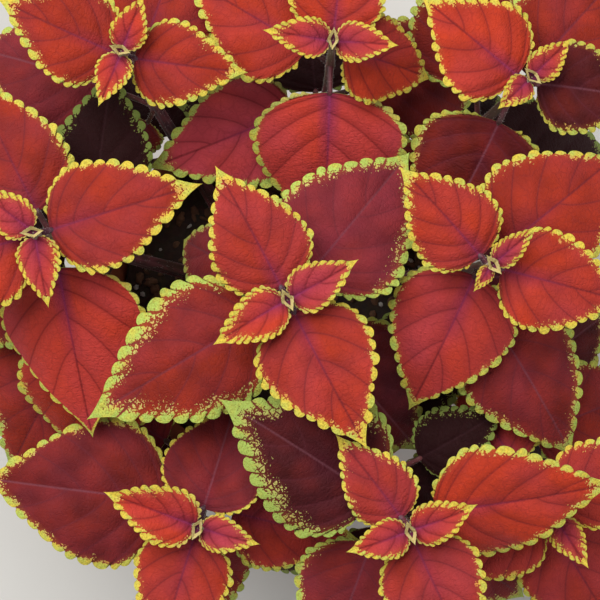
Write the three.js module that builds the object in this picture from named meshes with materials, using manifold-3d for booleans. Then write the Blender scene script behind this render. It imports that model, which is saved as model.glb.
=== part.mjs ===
// Coleus in a plain pot: a bushy foliage plant of nine leafy stems that stand in potting mix.
// Each stem is square, bows outwards and straightens up, and carries opposite pairs of ovate,
// scallop-edged leaves, each pair a quarter turn from the one above it, up to a bud of two small
// folded leaves. Units are millimetres, +Z is up, and the origin is the centre of the pot's
// underside.

import * as THREE from "three";
import { mergeVertices } from "three/addons/utils/BufferGeometryUtils.js";
import Module from "manifold-3d";

const wasm = await Module();
wasm.setup();

// ---- driving dimensions -------------------------------------------------------------------

const POT_HEIGHT = 126;
const POT_FOOT_RADIUS = 55;
const POT_RIM_RADIUS = 80;
const POT_WALL = 2.4;
const POT_FLOOR = 3;
const RIM_BAND = 22; // height of the thicker band below the lip
const RIM_STEP = 2.6; // how far the band stands out from the wall
const DRAIN_HOLES = 6;
const DRAIN_RADIUS = 4.5;
const DRAIN_RING = 40;
const POT_SIDES = 32;

const SOIL_TOP = 110;
const SOIL_GAP = 0.35;
const SOIL_RELIEF = 1.6; // how far the crumbs of the mix rise and fall
const STEM_DEPTH = 26; // how deep a stem stands in the mix
const LEAN_FROM = SOIL_TOP + 4; // below this height a stem is upright
const HOLE_GAP = 0.4;

const STEM_FOOT_HALF = 2.7; // half the width of the square stem at the soil
const STEM_TOP_HALF = 1.2;
const STEM_STEPS = 6;
const STEM_BOW = 1.8; // 1 is a straight stem; more bows it outwards first

const BLADE_THICKNESS = 0.8;
const RIB_DEPTH = 0.9; // how far the midrib stands out below the blade at its base
const PETIOLE_RADIUS = 1.15;
const PETIOLE_LIFT = 24; // degrees that a leaf stalk leaves the stem above its blade's rise
const TOOTH_SHARE = 0.024; // depth of a scallop, as a share of the blade's length
const TOOTHED_FROM = 0.02; // where along its length the scallops of a blade begin
const TOOTHED_TO = 0.87; // and end: from there its edge runs smoothly to the point
const WIDEST = 0.28; // where along its length a blade is widest
const RIB_POINTS = [0, 0.16, 0.36, 0.58, 0.8];

// ---- where the stems stand and how their leaves lie ------------------------------------------

// Down a stem, from the pair below the bud: how far each pair sits below the tip, the length of
// its stalk, and how its blade is folded up along the midrib, cupped down to its edges, and
// arched from base to tip in degrees. The last row is for the leaves of short side shoots, which
// stand between the two oldest pairs.
const PAIRS = [
  { drop: 3, stalk: 1.6, fold: 0.34, cup: 0.2, arch: 22, teeth: 4 },
  { drop: 11, stalk: 5, fold: 0.2, cup: 0.24, arch: 28, teeth: 6 },
  { drop: 27, stalk: 12, fold: 0.14, cup: 0.28, arch: 36, teeth: 7 },
  { drop: 50, stalk: 20, fold: 0.1, cup: 0.3, arch: 42, teeth: 5 },
  { drop: 76, stalk: 26, fold: 0.08, cup: 0.28, arch: 44, teeth: 4 },
  { drop: 62, stalk: 24, fold: 0.1, cup: 0.28, arch: 36, teeth: 4 },
];
const BUD = { drop: 0.5, stalk: 0.6, fold: 0.9, cup: 0.1, arch: 30, teeth: 0 };
const BUD_LENGTH = 6.5;
const BUD_RISE = 62;

// A leaf is [heading in degrees from +X towards +Y, blade length, rise of the blade's base in
// degrees], and what it does otherwise than its pair: broad is its width as a share of its
// length, and roll is in degrees, down to the left where it is positive. Each stem lists its
// pairs from the bud down.
const STEMS = [
  {
    name: "leafy_stem_centre",
    foot: [-1, 1],
    top: [1, 0, 240],
    pairs: [
      [[209, 31, 14], [28, 29, 20]],
      [[117, 52, 12, { broad: 0.72 }], [297, 58, 13, { broad: 0.76 }]],
      [[210, 79, 5, { broad: 0.66, arch: 26 }], [50, 66, 6, { broad: 0.82, arch: 44 }]],
      [[150, 48, -26], [305, 72, -4]],
      [[212, 62, -14]],
    ],
  },
  {
    name: "leafy_stem_right",
    foot: [40, 8],
    top: [77, 13, 231],
    pairs: [
      [[41, 21, 26, { broad: 0.46 }], [233, 12, 30, { broad: 0.5 }]],
      [[132, 46, 16, { broad: 0.76 }], [-15, 52, 12, { broad: 0.74 }]],
      [[245, 62, 4, { broad: 0.8, stalk: 4 }], [39, 62, 10, { broad: 0.84 }]],
      [[-58, 70, 0, { broad: 0.7, stalk: 24 }]],
      [[20, 68, -12], [270, 60, 6, { stalk: 14 }]],
      [[-6, 68, -12, { stalk: 12 }]],
    ],
  },
  {
    name: "leafy_stem_left",
    foot: [-40, 11],
    top: [-93, 25, 233],
    pairs: [
      [[-80, 27, 8], [142, 27, 16]],
      [[17, 60, 12, { broad: 0.68, arch: 22 }], [196, 56, 12]],
      [[-80, 72, -5, { broad: 0.82, arch: 20, roll: 20 }], [118, 62, 6, { broad: 0.68 }]],
      [[-86, 68, -4, { stalk: 36, broad: 0.88 }], [204, 68, -8]],
      [[150, 66, -12], [250, 76, -6, { stalk: 36 }]],
      [[80, 54, 6], [178, 62, -12, { stalk: 12 }]],
    ],
  },
  {
    name: "leafy_stem_back",
    foot: [11, 38],
    top: [18, 98, 218],
    pairs: [
      [[172, 26, 20], [-4, 24, 20]],
      [[84, 46, 14], [-12, 44, 10]],
      [[-91, 70, -8, { broad: 0.86, arch: 46 }], [150, 58, 8]],
      [[203, 66, -5, { broad: 0.7, arch: 10, stalk: 14 }], [14, 66, -8]],
      [[95, 70, -8]],
      [[172, 46, -8]],
    ],
  },
  {
    name: "leafy_stem_back_right",
    foot: [35, 32],
    top: [93, 84, 218],
    pairs: [
      [[224, 17, 24], [46, 20, 24]],
      [[142, 48, 12, { broad: 0.84 }], [-6, 46, 10]],
      [[50, 62, 6], [246, 62, -8, { broad: 0.88 }]],
      [[200, 56, -14], [96, 66, -4]],
      [[6, 74, -14], [60, 56, -10, { stalk: 12 }]],
    ],
  },
  {
    name: "leafy_stem_back_left",
    foot: [-27, 35],
    top: [-62, 94, 218],
    pairs: [
      [[70, 22, 20], [250, 22, 20]],
      [[158, 50, 14], [-10, 44, 14]],
      [[72, 64, 6]],
      [[160, 68, -4], [240, 28, -10, { stalk: 8 }]],
      [[112, 66, -10, { stalk: 10 }], [185, 60, -20]],
    ],
  },
  {
    name: "leafy_stem_front",
    foot: [19, -36],
    top: [46, -85, 238],
    pairs: [
      [[200, 24, 20], [20, 26, 20]],
      [[126, 40, 7, { broad: 0.66 }], [-66, 52, 12]],
      [[8, 70, 4, { broad: 0.64, arch: 20, roll: 20 }], [146, 70, 7, { broad: 0.8, arch: 6 }]],
      [[-110, 64, -4], [-40, 64, -8]],
      [[-88, 66, -12], [222, 64, -14]],
      [[48, 54, -14, { stalk: 18 }], [-12, 36, -16, { stalk: 8 }]],
    ],
  },
  {
    name: "leafy_stem_front_left",
    foot: [-27, -34],
    top: [-34, -88, 202],
    pairs: [
      [[157, 38, 14, { fold: 0.6 }], [-16, 24, 20]],
      [[72, 46, 16, { broad: 0.92, fold: 0.4, roll: -20 }], [252, 52, 10]],
      [[173, 78, 6, { broad: 0.76, stalk: 16 }], [-14, 54, 4]],
      [[150, 64, -6], [262, 66, -6]],
      [],
      [[199, 86, -4, { stalk: 16 }]],
    ],
  },
  {
    name: "leafy_stem_front_right",
    foot: [42, -20],
    top: [104, -84, 204],
    pairs: [
      [[120, 22, 20], [-58, 22, 20]],
      [[32, 48, 8], [212, 46, 4]],
      [[-58, 64, 6], [118, 52, -18]],
      [[20, 66, -6], [236, 62, -6]],
      [[290, 70, -12]],
      [[36, 68, -10], [-20, 56, -14, { stalk: 8 }]],
    ],
  },
];

// ---- small helpers ---------------------------------------------------------------------------

const radians = THREE.MathUtils.degToRad;

// A repeatable draw from 0 to 1 for the whole number n.
const scatter = (n) => ((n * 7919 + 31) % 997) / 997;

// A closed triangle list as a solid that can be joined and cut.
function solid(geometry) {
  const bare = geometry.clone();
  bare.deleteAttribute("normal");
  bare.deleteAttribute("uv");
  const merged = mergeVertices(bare, 1e-4);
  return new wasm.Manifold(
    new wasm.Mesh({
      numProp: 3,
      vertProperties: new Float32Array(merged.attributes.position.array),
      triVerts: new Uint32Array(merged.index.array),
    }),
  );
}

// The faces of a solid as a mesh with its own material.
function mesh(name, made, material) {
  const out = made.getMesh();
  const geometry = new THREE.BufferGeometry()
    .setAttribute("position", new THREE.BufferAttribute(out.vertProperties, 3))
    .setIndex(new THREE.BufferAttribute(out.triVerts, 1));
  geometry.computeVertexNormals();
  const named = new THREE.Mesh(geometry, material);
  named.name = name;
  return named;
}

// Points and triangles as a geometry.
function triangles(points, faces) {
  return new THREE.BufferGeometry()
    .setAttribute("position", new THREE.Float32BufferAttribute(points.flat(), 3))
    .setIndex(faces.flat());
}

// ---- stems -------------------------------------------------------------------------------------

// The axis of a stem at a height: it stands upright in the mix, leans out above it, and is
// upright again at its tip.
function stemAxis(stem, z) {
  const climbed = Math.min(1, Math.max(0, (z - LEAN_FROM) / (stem.top[2] - LEAN_FROM)));
  const out = 1 - (1 - climbed) ** STEM_BOW;
  return [
    stem.foot[0] + (stem.top[0] - stem.foot[0]) * out,
    stem.foot[1] + (stem.top[1] - stem.foot[1]) * out,
    z,
  ];
}

// A square stem, lofted through level squares from its foot in the mix to its tip.
function stemSolid(stem) {
  const heights = [SOIL_TOP - STEM_DEPTH];
  for (let i = 0; i <= STEM_STEPS; i++)
    heights.push(LEAN_FROM + ((stem.top[2] - LEAN_FROM) * i) / STEM_STEPS);
  const turn = radians(stem.pairs[0][0][0]);
  const points = [];
  const faces = [];
  heights.forEach((z, row) => {
    const climbed = Math.max(0, (z - LEAN_FROM) / (stem.top[2] - LEAN_FROM));
    const reach = Math.SQRT2 * (STEM_FOOT_HALF + (STEM_TOP_HALF - STEM_FOOT_HALF) * climbed);
    const [x, y] = stemAxis(stem, z);
    for (let corner = 0; corner < 4; corner++) {
      const angle = turn + Math.PI / 4 + (corner * Math.PI) / 2;
      points.push([x + reach * Math.cos(angle), y + reach * Math.sin(angle), z]);
      if (row === 0) continue;
      const next = (corner + 1) % 4;
      const below = (row - 1) * 4;
      const above = row * 4;
      faces.push([below + corner, below + next, above + next]);
      faces.push([below + corner, above + next, above + corner]);
    }
  });
  const last = (heights.length - 1) * 4;
  faces.push([0, 2, 1], [0, 3, 2], [last, last + 1, last + 2], [last, last + 2, last + 3]);
  return solid(triangles(points, faces));
}

// ---- leaves ------------------------------------------------------------------------------------

// All that shapes one leaf. number tells the leaves apart, for their small differences.
function makeLeaf(stem, number, pair, [heading, length, rise, own = {}]) {
  const broad = (length < 40 ? 0.6 : 0.74) + 0.08 * (scatter(number + 500) - 0.5);
  return {
    root: stemAxis(stem, stem.top[2] - pair.drop),
    heading,
    length,
    rise,
    stalk: own.stalk ?? pair.stalk * (0.85 + 0.3 * scatter(number)),
    fold: own.fold ?? pair.fold,
    cup: pair.cup,
    arch: own.arch ?? pair.arch * (0.8 + 0.4 * scatter(number + 100)),
    roll: own.roll ?? 12 * (scatter(number + 200) - 0.5),
    sweep: 0.1 * (scatter(number + 300) - 0.5),
    wave: 0.022 * length,
    phase: 2 * Math.PI * scatter(number + 400),
    halfWidth: 0.5 * length * (own.broad ?? broad),
    teeth: pair.teeth,
  };
}

// Half the width of a blade at the share u of its length: a quarter of an ellipse up to WIDEST,
// and from there a cosine to the power 1.4 that draws it out to a point.
function halfWidthAt(leaf, u) {
  if (u < WIDEST) return leaf.halfWidth * Math.sqrt(Math.max(0, 1 - (1 - u / WIDEST) ** 2));
  const past = Math.min(1, (u - WIDEST) / (1 - WIDEST));
  return leaf.halfWidth * Math.max(0, Math.cos((Math.PI / 2) * past)) ** 1.4;
}

// A circular arc that starts level with the origin at the angle from, ends at the angle to after
// length, and is read at the distance s: how far out and up it has come, and its angle there.
function arc(from, to, length, s) {
  const bend = (to - from) / length;
  const angle = from + bend * s;
  return [(Math.sin(angle) - Math.sin(from)) / bend, (Math.cos(from) - Math.cos(angle)) / bend, angle];
}

// A point of a leaf: s along it, negative on the stalk, and x across it. lift moves the point
// off the leaf's middle surface, upwards where it is positive.
function leafPoint(leaf, s, x, lift) {
  const rise = radians(leaf.rise);
  const [stalkOut, stalkUp] = arc(rise + radians(PETIOLE_LIFT), rise, leaf.stalk, leaf.stalk);
  let out, up, angle;
  if (s < 0) {
    [out, up, angle] = arc(rise + radians(PETIOLE_LIFT), rise, leaf.stalk, leaf.stalk + s);
  } else {
    [out, up, angle] = arc(rise, rise - radians(leaf.arch), leaf.length, s);
    out += stalkOut;
    up += stalkUp;
  }
  const u = Math.max(0, s / leaf.length);
  const across = Math.min(1, Math.abs(x) / leaf.halfWidth);
  const height =
    leaf.fold * Math.abs(x) -
    leaf.cup * across * Math.abs(x) +
    leaf.wave * Math.sin(4 * Math.PI * u + leaf.phase + (x > 0 ? 1.3 : 0)) * across * across +
    lift;
  const roll = radians(leaf.roll) * Math.min(1, Math.max(0, 1 + s / leaf.stalk));
  const side = x + leaf.sweep * leaf.length * u * u;
  // side and height turn about the midrib by the roll
  const sideways = side * Math.cos(roll) - height * Math.sin(roll);
  const normal = side * Math.sin(roll) + height * Math.cos(roll);
  const forward = out - normal * Math.sin(angle);
  const heading = radians(leaf.heading);
  return [
    leaf.root[0] + forward * Math.cos(heading) - sideways * Math.sin(heading),
    leaf.root[1] + forward * Math.sin(heading) + sideways * Math.cos(heading),
    leaf.root[2] + up + normal * Math.cos(angle),
  ];
}

// The right edge of a blade from base to tip as [s, x]: two points for each scallop.
function leafEdge(leaf) {
  const edge = [[0, PETIOLE_RADIUS]];
  const depth = TOOTH_SHARE * leaf.length;
  const at = (k) => TOOTHED_FROM + (TOOTHED_TO - TOOTHED_FROM) * (k / leaf.teeth) ** 1.3;
  for (let k = 0; k < leaf.teeth; k++) {
    const crest = at(k + 0.6);
    edge.push([crest * leaf.length, halfWidthAt(leaf, crest) + depth / 2]);
    const notch = at(k + 1);
    edge.push([notch * leaf.length, halfWidthAt(leaf, notch) - depth / 2]);
  }
  if (leaf.teeth === 0)
    for (const u of [0.3, 0.7]) edge.push([u * leaf.length, halfWidthAt(leaf, u)]);
  return edge;
}

// Triangles between two chains of [index, s] that run side by side and meet at their last point.
function zip(inner, outer) {
  const faces = [];
  let i = 0;
  let j = 0;
  while (i < inner.length - 1 || j < outer.length - 1) {
    const innerNext = i < inner.length - 2 ? inner[i + 1][1] : Infinity;
    const outerNext = j < outer.length - 2 ? outer[j + 1][1] : Infinity;
    if (innerNext === Infinity && outerNext === Infinity) {
      faces.push([inner[i][0], outer[j][0], outer[outer.length - 1][0]]);
      break;
    }
    if (innerNext < outerNext) {
      faces.push([inner[i][0], outer[j][0], inner[i + 1][0]]);
      i++;
    } else {
      faces.push([inner[i][0], outer[j][0], outer[j + 1][0]]);
      j++;
    }
  }
  return faces;
}

// A leaf with its stalk as one closed body. Both faces are split into triangles alike.
function leafSolid(leaf) {
  const half = BLADE_THICKNESS / 2;
  const points = [];
  const add = (s, x, lift) => points.push(leafPoint(leaf, s, x, lift)) - 1;
  const edge = leafEdge(leaf);
  const ribs = leaf.teeth ? RIB_POINTS : RIB_POINTS.filter((_, i) => i % 2 === 0);
  const ribDepth = (u) => half + RIB_DEPTH * (1 - u) ** 1.5;
  const tip = leaf.length;
  const tipTop = add(tip, 0, half);
  const tipUnder = add(tip, 0, -half);
  const ribTop = [...ribs.map((u) => [add(u * tip, 0, half), u * tip]), [tipTop, tip]];
  const ribUnder = [...ribs.map((u) => [add(u * tip, 0, -ribDepth(u)), u * tip]), [tipUnder, tip]];
  const faces = [];
  const bases = [];
  for (const hand of [-1, 1]) {
    const top = [...edge.map(([s, x]) => [add(s, hand * x, half), s]), [tipTop, tip]];
    const under = [...edge.map(([s, x]) => [add(s, hand * x, -half), s]), [tipUnder, tip]];
    // turn puts a triangle's corners in the order that faces it out, on either hand
    const turn = ([a, b, c]) => (hand > 0 ? [a, c, b] : [a, b, c]);
    for (const face of zip(ribTop, top)) faces.push(turn(face));
    for (const [a, b, c] of zip(ribUnder, under)) faces.push(turn([a, c, b]));
    for (let k = 0; k < top.length - 1; k++) {
      faces.push(turn([top[k][0], under[k][0], top[k + 1][0]]));
      faces.push(turn([top[k + 1][0], under[k][0], under[k + 1][0]]));
    }
    bases.push([top[0][0], under[0][0]]);
  }
  // the stalk: rings of four points from its root in the stem to the blade's base
  const steps = leaf.stalk > 10 ? [1, 0.5] : [1];
  const rings = steps.map((share) => {
    const s = -share * leaf.stalk;
    const r = PETIOLE_RADIUS;
    return [add(s, -r, 0), add(s, 0, r), add(s, r, 0), add(s, 0, -r)];
  });
  const [root] = rings;
  faces.push([root[0], root[1], root[2]], [root[0], root[2], root[3]]);
  for (let k = 0; k < rings.length - 1; k++)
    for (let side = 0; side < 4; side++) {
      const next = (side + 1) % 4;
      faces.push([rings[k][side], rings[k + 1][next], rings[k][next]]);
      faces.push([rings[k][side], rings[k + 1][side], rings[k + 1][next]]);
    }
  const [right, over, left, below] = rings[rings.length - 1];
  const [[rightTop, rightUnder], [leftTop, leftUnder]] = bases;
  const baseTop = ribTop[0][0];
  const baseUnder = ribUnder[0][0];
  faces.push([right, baseTop, over], [right, rightTop, baseTop], [right, rightUnder, rightTop]);
  faces.push([over, leftTop, left], [over, baseTop, leftTop], [left, leftTop, leftUnder]);
  faces.push([left, baseUnder, below], [left, leftUnder, baseUnder]);
  faces.push([below, rightUnder, right], [below, baseUnder, rightUnder]);
  return solid(triangles(points, faces));
}

// ---- giving way --------------------------------------------------------------------------------

// Space is claimed in small cells. A lower leaf gives way to what is already placed: it bends
// down, or up, or turns a little on the stem, until its blade and stalk are clear.
const CELL = 3;
const CLAIM = 1.7; // how far above and below a blade its claim reaches
const SPACE = [480, 480, 340];
const OFFSET = [240.37, 240.37, 0.37];
const CELLS = SPACE.map((size) => size / CELL);
const OWN_STEM = 13; // near its own stem a leaf may touch what grows there
const BENDS = [0, -4, -8, -12, -16, -20, -25, -30, -36, 4, 8, 12, 17, 22];
const TURNS = [0, 6, -6, 12, -12, 19, -19, 27, -27, 36, -36];
const SHRINK = [1, 0.88, 0.76];
const POT_OWNER = 100;

const claims = new Uint8Array(Math.round(CELLS[0]) * Math.round(CELLS[1]) * Math.round(CELLS[2]));

function cellOf(point) {
  const [i, j, k] = point.map((value, axis) => Math.floor((value + OFFSET[axis]) / CELL));
  return (i * CELLS[1] + j) * Math.round(CELLS[2]) + k;
}

// Points over a leaf's blade and along its stalk, moved off its middle surface by lift.
function leafSamples(leaf, lift) {
  const samples = [];
  const along = Math.max(6, Math.round(leaf.length / 2));
  const across = Math.max(3, Math.round(leaf.halfWidth / 2));
  for (let i = 0; i <= along; i++) {
    const u = i / along;
    const edge = halfWidthAt(leaf, u) + TOOTH_SHARE * leaf.length * 0.5;
    for (let j = -across; j <= across; j++)
      samples.push(leafPoint(leaf, u * leaf.length, (edge * j) / across, lift));
  }
  for (let s = 0; s < leaf.stalk; s += 2) samples.push(leafPoint(leaf, -s, 0, lift));
  return samples;
}

function claimLeaf(leaf, owner) {
  for (const lift of [-CLAIM, 0, CLAIM])
    for (const point of leafSamples(leaf, lift)) {
      const cell = cellOf(point);
      if (!claims[cell]) claims[cell] = owner;
    }
}

function isClear(leaf, owner) {
  return leafSamples(leaf, 0).every((point) => {
    const held = claims[cellOf(point)];
    if (!held) return true;
    const apart = Math.hypot(point[0] - leaf.root[0], point[1] - leaf.root[1]);
    return held === owner && apart < OWN_STEM;
  });
}

function claimStem(stem, owner) {
  for (let z = SOIL_TOP; z <= stem.top[2]; z += 2) {
    const [x, y] = stemAxis(stem, z);
    for (const dx of [-3, 0, 3]) for (const dy of [-3, 0, 3]) claims[cellOf([x + dx, y + dy, z])] = owner;
  }
}

function claimPot() {
  const reach = POT_RIM_RADIUS + 3;
  for (let x = -reach; x <= reach; x += 2)
    for (let y = -reach; y <= reach; y += 2)
      if (Math.hypot(x, y) <= reach)
        for (let z = 0; z <= POT_HEIGHT + 3; z += 2) claims[cellOf([x, y, z])] = POT_OWNER;
}

// The leaf as it settles among those already placed, or nothing where there is no room.
function settle(leaf, owner) {
  for (const share of SHRINK)
    for (const turn of TURNS)
      for (const bend of BENDS) {
        const tried = {
          ...leaf,
          heading: leaf.heading + turn,
          rise: leaf.rise + bend,
          length: leaf.length * share,
          halfWidth: leaf.halfWidth * share,
          wave: leaf.wave * share,
        };
        if (isClear(tried, owner)) return tried;
      }
  return null;
}

// Every stem's leaves, settled pair by pair from the top of the plant down.
function placeLeaves() {
  const leaves = STEMS.map(() => []);
  claimPot();
  STEMS.forEach((stem, s) => claimStem(stem, s + 1));
  const grow = (leaf, s) => {
    leaves[s].push(leaf);
    claimLeaf(leaf, s + 1);
  };
  STEMS.forEach((stem, s) => {
    const across = stem.pairs[0][0][0] + 90;
    for (const heading of [across, across + 180])
      grow(makeLeaf(stem, s * 20 + 10, BUD, [heading, BUD_LENGTH, BUD_RISE]), s);
  });
  PAIRS.forEach((pair, level) => {
    STEMS.forEach((stem, s) => {
      (stem.pairs[level] ?? []).forEach((lie, side) => {
        const leaf = settle(makeLeaf(stem, s * 20 + level * 2 + side, pair, lie), s + 1);
        if (leaf) grow(leaf, s);
      });
    });
  });
  return leaves;
}

// ---- pot and mix -------------------------------------------------------------------------------

// The radius of the pot's outer wall at a height.
const wallAt = (z) => POT_FOOT_RADIUS + ((POT_RIM_RADIUS - RIM_STEP - POT_FOOT_RADIUS) * z) / POT_HEIGHT;

function potSolid() {
  const bandFoot = POT_HEIGHT - RIM_BAND;
  const profile = [
    [0, 0],
    [POT_FOOT_RADIUS - 1.5, 0],
    [POT_FOOT_RADIUS, 1.5],
    [wallAt(bandFoot), bandFoot],
    [wallAt(bandFoot) + RIM_STEP, bandFoot + 1.5],
    [POT_RIM_RADIUS, POT_HEIGHT - 1.2],
    [POT_RIM_RADIUS - 1.2, POT_HEIGHT],
    [POT_RIM_RADIUS - POT_WALL - 0.6, POT_HEIGHT],
    [POT_RIM_RADIUS - POT_WALL - 1.4, POT_HEIGHT - 1.2],
    [wallAt(bandFoot) - POT_WALL, bandFoot],
    [wallAt(POT_FLOOR) - POT_WALL, POT_FLOOR],
    [0, POT_FLOOR],
  ].map(([r, z]) => new THREE.Vector2(r, z));
  const pot = new THREE.LatheGeometry(profile, POT_SIDES).rotateX(Math.PI / 2);
  let made = solid(pot);
  for (let k = 0; k < DRAIN_HOLES; k++) {
    const angle = (2 * Math.PI * (k + 0.5)) / DRAIN_HOLES;
    const drill = new THREE.CylinderGeometry(DRAIN_RADIUS, DRAIN_RADIUS, 4 * POT_FLOOR, 8)
      .rotateX(Math.PI / 2)
      .translate(DRAIN_RING * Math.cos(angle), DRAIN_RING * Math.sin(angle), POT_FLOOR / 2);
    made = made.subtract(solid(drill));
  }
  return made;
}

// Potting mix: it fills the pot to a little below the rim, with a plain hole for each stem.
function mixSolid() {
  const bandFoot = POT_HEIGHT - RIM_BAND;
  const inner = (z) => wallAt(z) - POT_WALL - SOIL_GAP;
  const profile = [
    [0, POT_FLOOR + SOIL_GAP],
    [inner(POT_FLOOR) - SOIL_GAP, POT_FLOOR + SOIL_GAP],
    [inner(bandFoot) - SOIL_GAP, bandFoot],
    [inner(bandFoot) - SOIL_GAP + 0.4, SOIL_TOP - 2],
    [50, SOIL_TOP],
    [25, SOIL_TOP],
    [0, SOIL_TOP],
  ].map(([r, z]) => new THREE.Vector2(r, z));
  const mix = new THREE.LatheGeometry(profile, POT_SIDES).rotateX(Math.PI / 2);
  const at = mix.attributes.position;
  for (let i = 0; i < at.count; i++) {
    const [x, y, z] = [at.getX(i), at.getY(i), at.getZ(i)];
    if (z < SOIL_TOP - 3) continue;
    at.setZ(i, z + SOIL_RELIEF * Math.sin(x / 7 + 1) * Math.cos(y / 6));
  }
  let made = solid(mix);
  for (const stem of STEMS) {
    const half = STEM_FOOT_HALF + HOLE_GAP;
    const depth = STEM_DEPTH + HOLE_GAP;
    const hole = new THREE.BoxGeometry(2 * half, 2 * half, 2 * depth)
      .rotateZ(radians(stem.pairs[0][0][0]))
      .translate(stem.foot[0], stem.foot[1], SOIL_TOP);
    made = made.subtract(solid(hole));
  }
  return made;
}

// ---- the plant ---------------------------------------------------------------------------------

const potPlastic = new THREE.MeshStandardMaterial({ color: 0xa4583a, roughness: 0.55 });
const pottingMix = new THREE.MeshStandardMaterial({ color: 0x2e211a, roughness: 0.95 });
const foliage = new THREE.MeshStandardMaterial({ color: 0xa62a26, roughness: 0.5 });

const coleus = new THREE.Group();
coleus.add(mesh("pot", potSolid(), potPlastic));
coleus.add(mesh("potting_mix", mixSolid(), pottingMix));
placeLeaves().forEach((leaves, s) => {
  const stem = STEMS[s];
  let made = stemSolid(stem);
  for (const leaf of leaves) made = made.add(leafSolid(leaf));
  coleus.add(mesh(stem.name, made, foliage));
});

export default coleus;
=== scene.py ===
import math

import bpy
import numpy as np
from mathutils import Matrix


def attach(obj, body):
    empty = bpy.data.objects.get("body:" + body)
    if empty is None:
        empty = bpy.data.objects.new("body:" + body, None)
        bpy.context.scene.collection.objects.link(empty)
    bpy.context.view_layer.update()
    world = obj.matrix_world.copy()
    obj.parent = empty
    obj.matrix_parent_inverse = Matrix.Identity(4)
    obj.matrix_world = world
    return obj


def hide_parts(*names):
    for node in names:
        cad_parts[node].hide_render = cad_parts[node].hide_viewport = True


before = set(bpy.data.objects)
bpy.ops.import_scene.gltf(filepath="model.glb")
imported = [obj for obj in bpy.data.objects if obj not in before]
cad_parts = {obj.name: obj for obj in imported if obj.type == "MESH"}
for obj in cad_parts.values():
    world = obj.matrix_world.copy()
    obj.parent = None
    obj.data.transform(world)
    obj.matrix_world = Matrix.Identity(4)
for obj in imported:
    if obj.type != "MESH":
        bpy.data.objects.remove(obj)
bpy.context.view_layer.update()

# A bushy coleus in a plain round pot, looked at from above. Lengths are in millimetres up to the
# point where a mesh is made, and every piece stands in the part's own frame: +Z up along the pot's
# axis, with the centre of its underside at the origin.

# ---- camera, light and floor -------------------------------------------------------------------
# Not part of the object: a camera straight above the plant, a large soft light on either side of
# it, a pale sky and a plain pale floor.

CAMERA_HEIGHT = 0.932
CAMERA_ASIDE = 0.00555
CAMERA_LENS = 113.5

camera = bpy.data.objects.new("camera", bpy.data.cameras.new("camera"))
camera.location = (CAMERA_ASIDE, 0, CAMERA_HEIGHT)
camera.data.sensor_width = 36
camera.data.lens = CAMERA_LENS
camera.data.clip_start = 0.01
bpy.context.scene.collection.objects.link(camera)
bpy.context.scene.camera = camera
bpy.context.scene.view_settings.view_transform = "Standard"

for name, place, aim, size, watts in [
    ("window light", (-0.6, 0.75, 1.6), (0, 0, 0.15), 1.5, 40),
    ("fill light", (1.1, -0.5, 1.1), (0, 0, 0.15), 1.4, 8),
]:
    lamp = bpy.data.objects.new(name, bpy.data.lights.new(name, "AREA"))
    lamp.data.size = size
    lamp.data.energy = watts
    lamp.location = place
    towards = np.subtract(aim, place)
    lamp.rotation_euler = (
        math.atan2(math.hypot(towards[0], towards[1]), -towards[2]),
        0,
        math.atan2(towards[1], towards[0]) - math.pi / 2,
    )
    bpy.context.scene.collection.objects.link(lamp)


def linear(code):
    """The linear colour of an sRGB hex code, with an alpha of 1."""
    share = np.array([int(code[i : i + 2], 16) for i in (1, 3, 5)]) / 255
    light = np.where(share > 0.04045, ((share + 0.055) / 1.055) ** 2.4, share / 12.92)
    return (*light.tolist(), 1.0)


def add(tree, kind, ins={}, **settings):
    """One shader node with its settings. An input is given by its name or number, and takes a
    value, a hex colour, or a link from a socket or from another node's first output. A MapRange
    turns input 0, as it runs from input 1 to input 2, into a value from input 3 to input 4."""
    made = tree.nodes.new("ShaderNode" + kind)
    for name, value in settings.items():
        setattr(made, name, value)
    for key, value in ins.items():
        if isinstance(key, int):
            socket = made.inputs[key]
        else:
            socket = next(i for i in made.inputs if i.name == key and i.enabled)
        if isinstance(value, str):
            value = linear(value)
        if isinstance(value, bpy.types.Node):
            value = next(o for o in value.outputs if o.enabled)
        if isinstance(value, bpy.types.NodeSocket):
            tree.links.new(value, socket)
        else:
            socket.default_value = value
    return made


def new_material(name):
    """A material whose node tree is still empty, and that tree."""
    made = bpy.data.materials.new(name)
    made.use_nodes = True
    made.node_tree.nodes.clear()
    return made, made.node_tree


sky = bpy.data.worlds.new("pale sky")
sky.use_nodes = True
sky.node_tree.nodes["Background"].inputs["Color"].default_value = linear("#e6ebf0")
sky.node_tree.nodes["Background"].inputs["Strength"].default_value = 0.26
bpy.context.scene.world = sky


def piece(name, points, faces, material, marks={}, rims=None):
    """A smooth mesh object at the origin from points in millimetres. faces is a list of arrays or
    lists of corner numbers, marks gives values to the points, and an edge between two points of
    the same rim number, other than 0, is kept sharp."""
    mesh = bpy.data.meshes.new(name)
    corners = [face for part in faces for face in np.asarray(part).tolist()]
    mesh.from_pydata((np.asarray(points) * 0.001).tolist(), [], corners)
    mesh.shade_smooth()
    for mark, values in marks.items():
        layer = mesh.attributes.new(mark, "FLOAT_VECTOR", "POINT")
        layer.data.foreach_set("vector", np.asarray(values, np.float32).ravel())
    if rims is not None:
        ends = np.empty(2 * len(mesh.edges), np.int32)
        mesh.edges.foreach_get("vertices", ends)
        rim = np.asarray(rims)[ends.reshape(-1, 2)]
        sharp = (rim[:, 0] == rim[:, 1]) & (rim[:, 0] > 0)
        mesh.attributes.new("sharp_edge", "BOOLEAN", "EDGE").data.foreach_set("value", sharp)
    mesh.materials.append(material)
    made = bpy.data.objects.new(name, mesh)
    bpy.context.scene.collection.objects.link(made)
    return made


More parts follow.
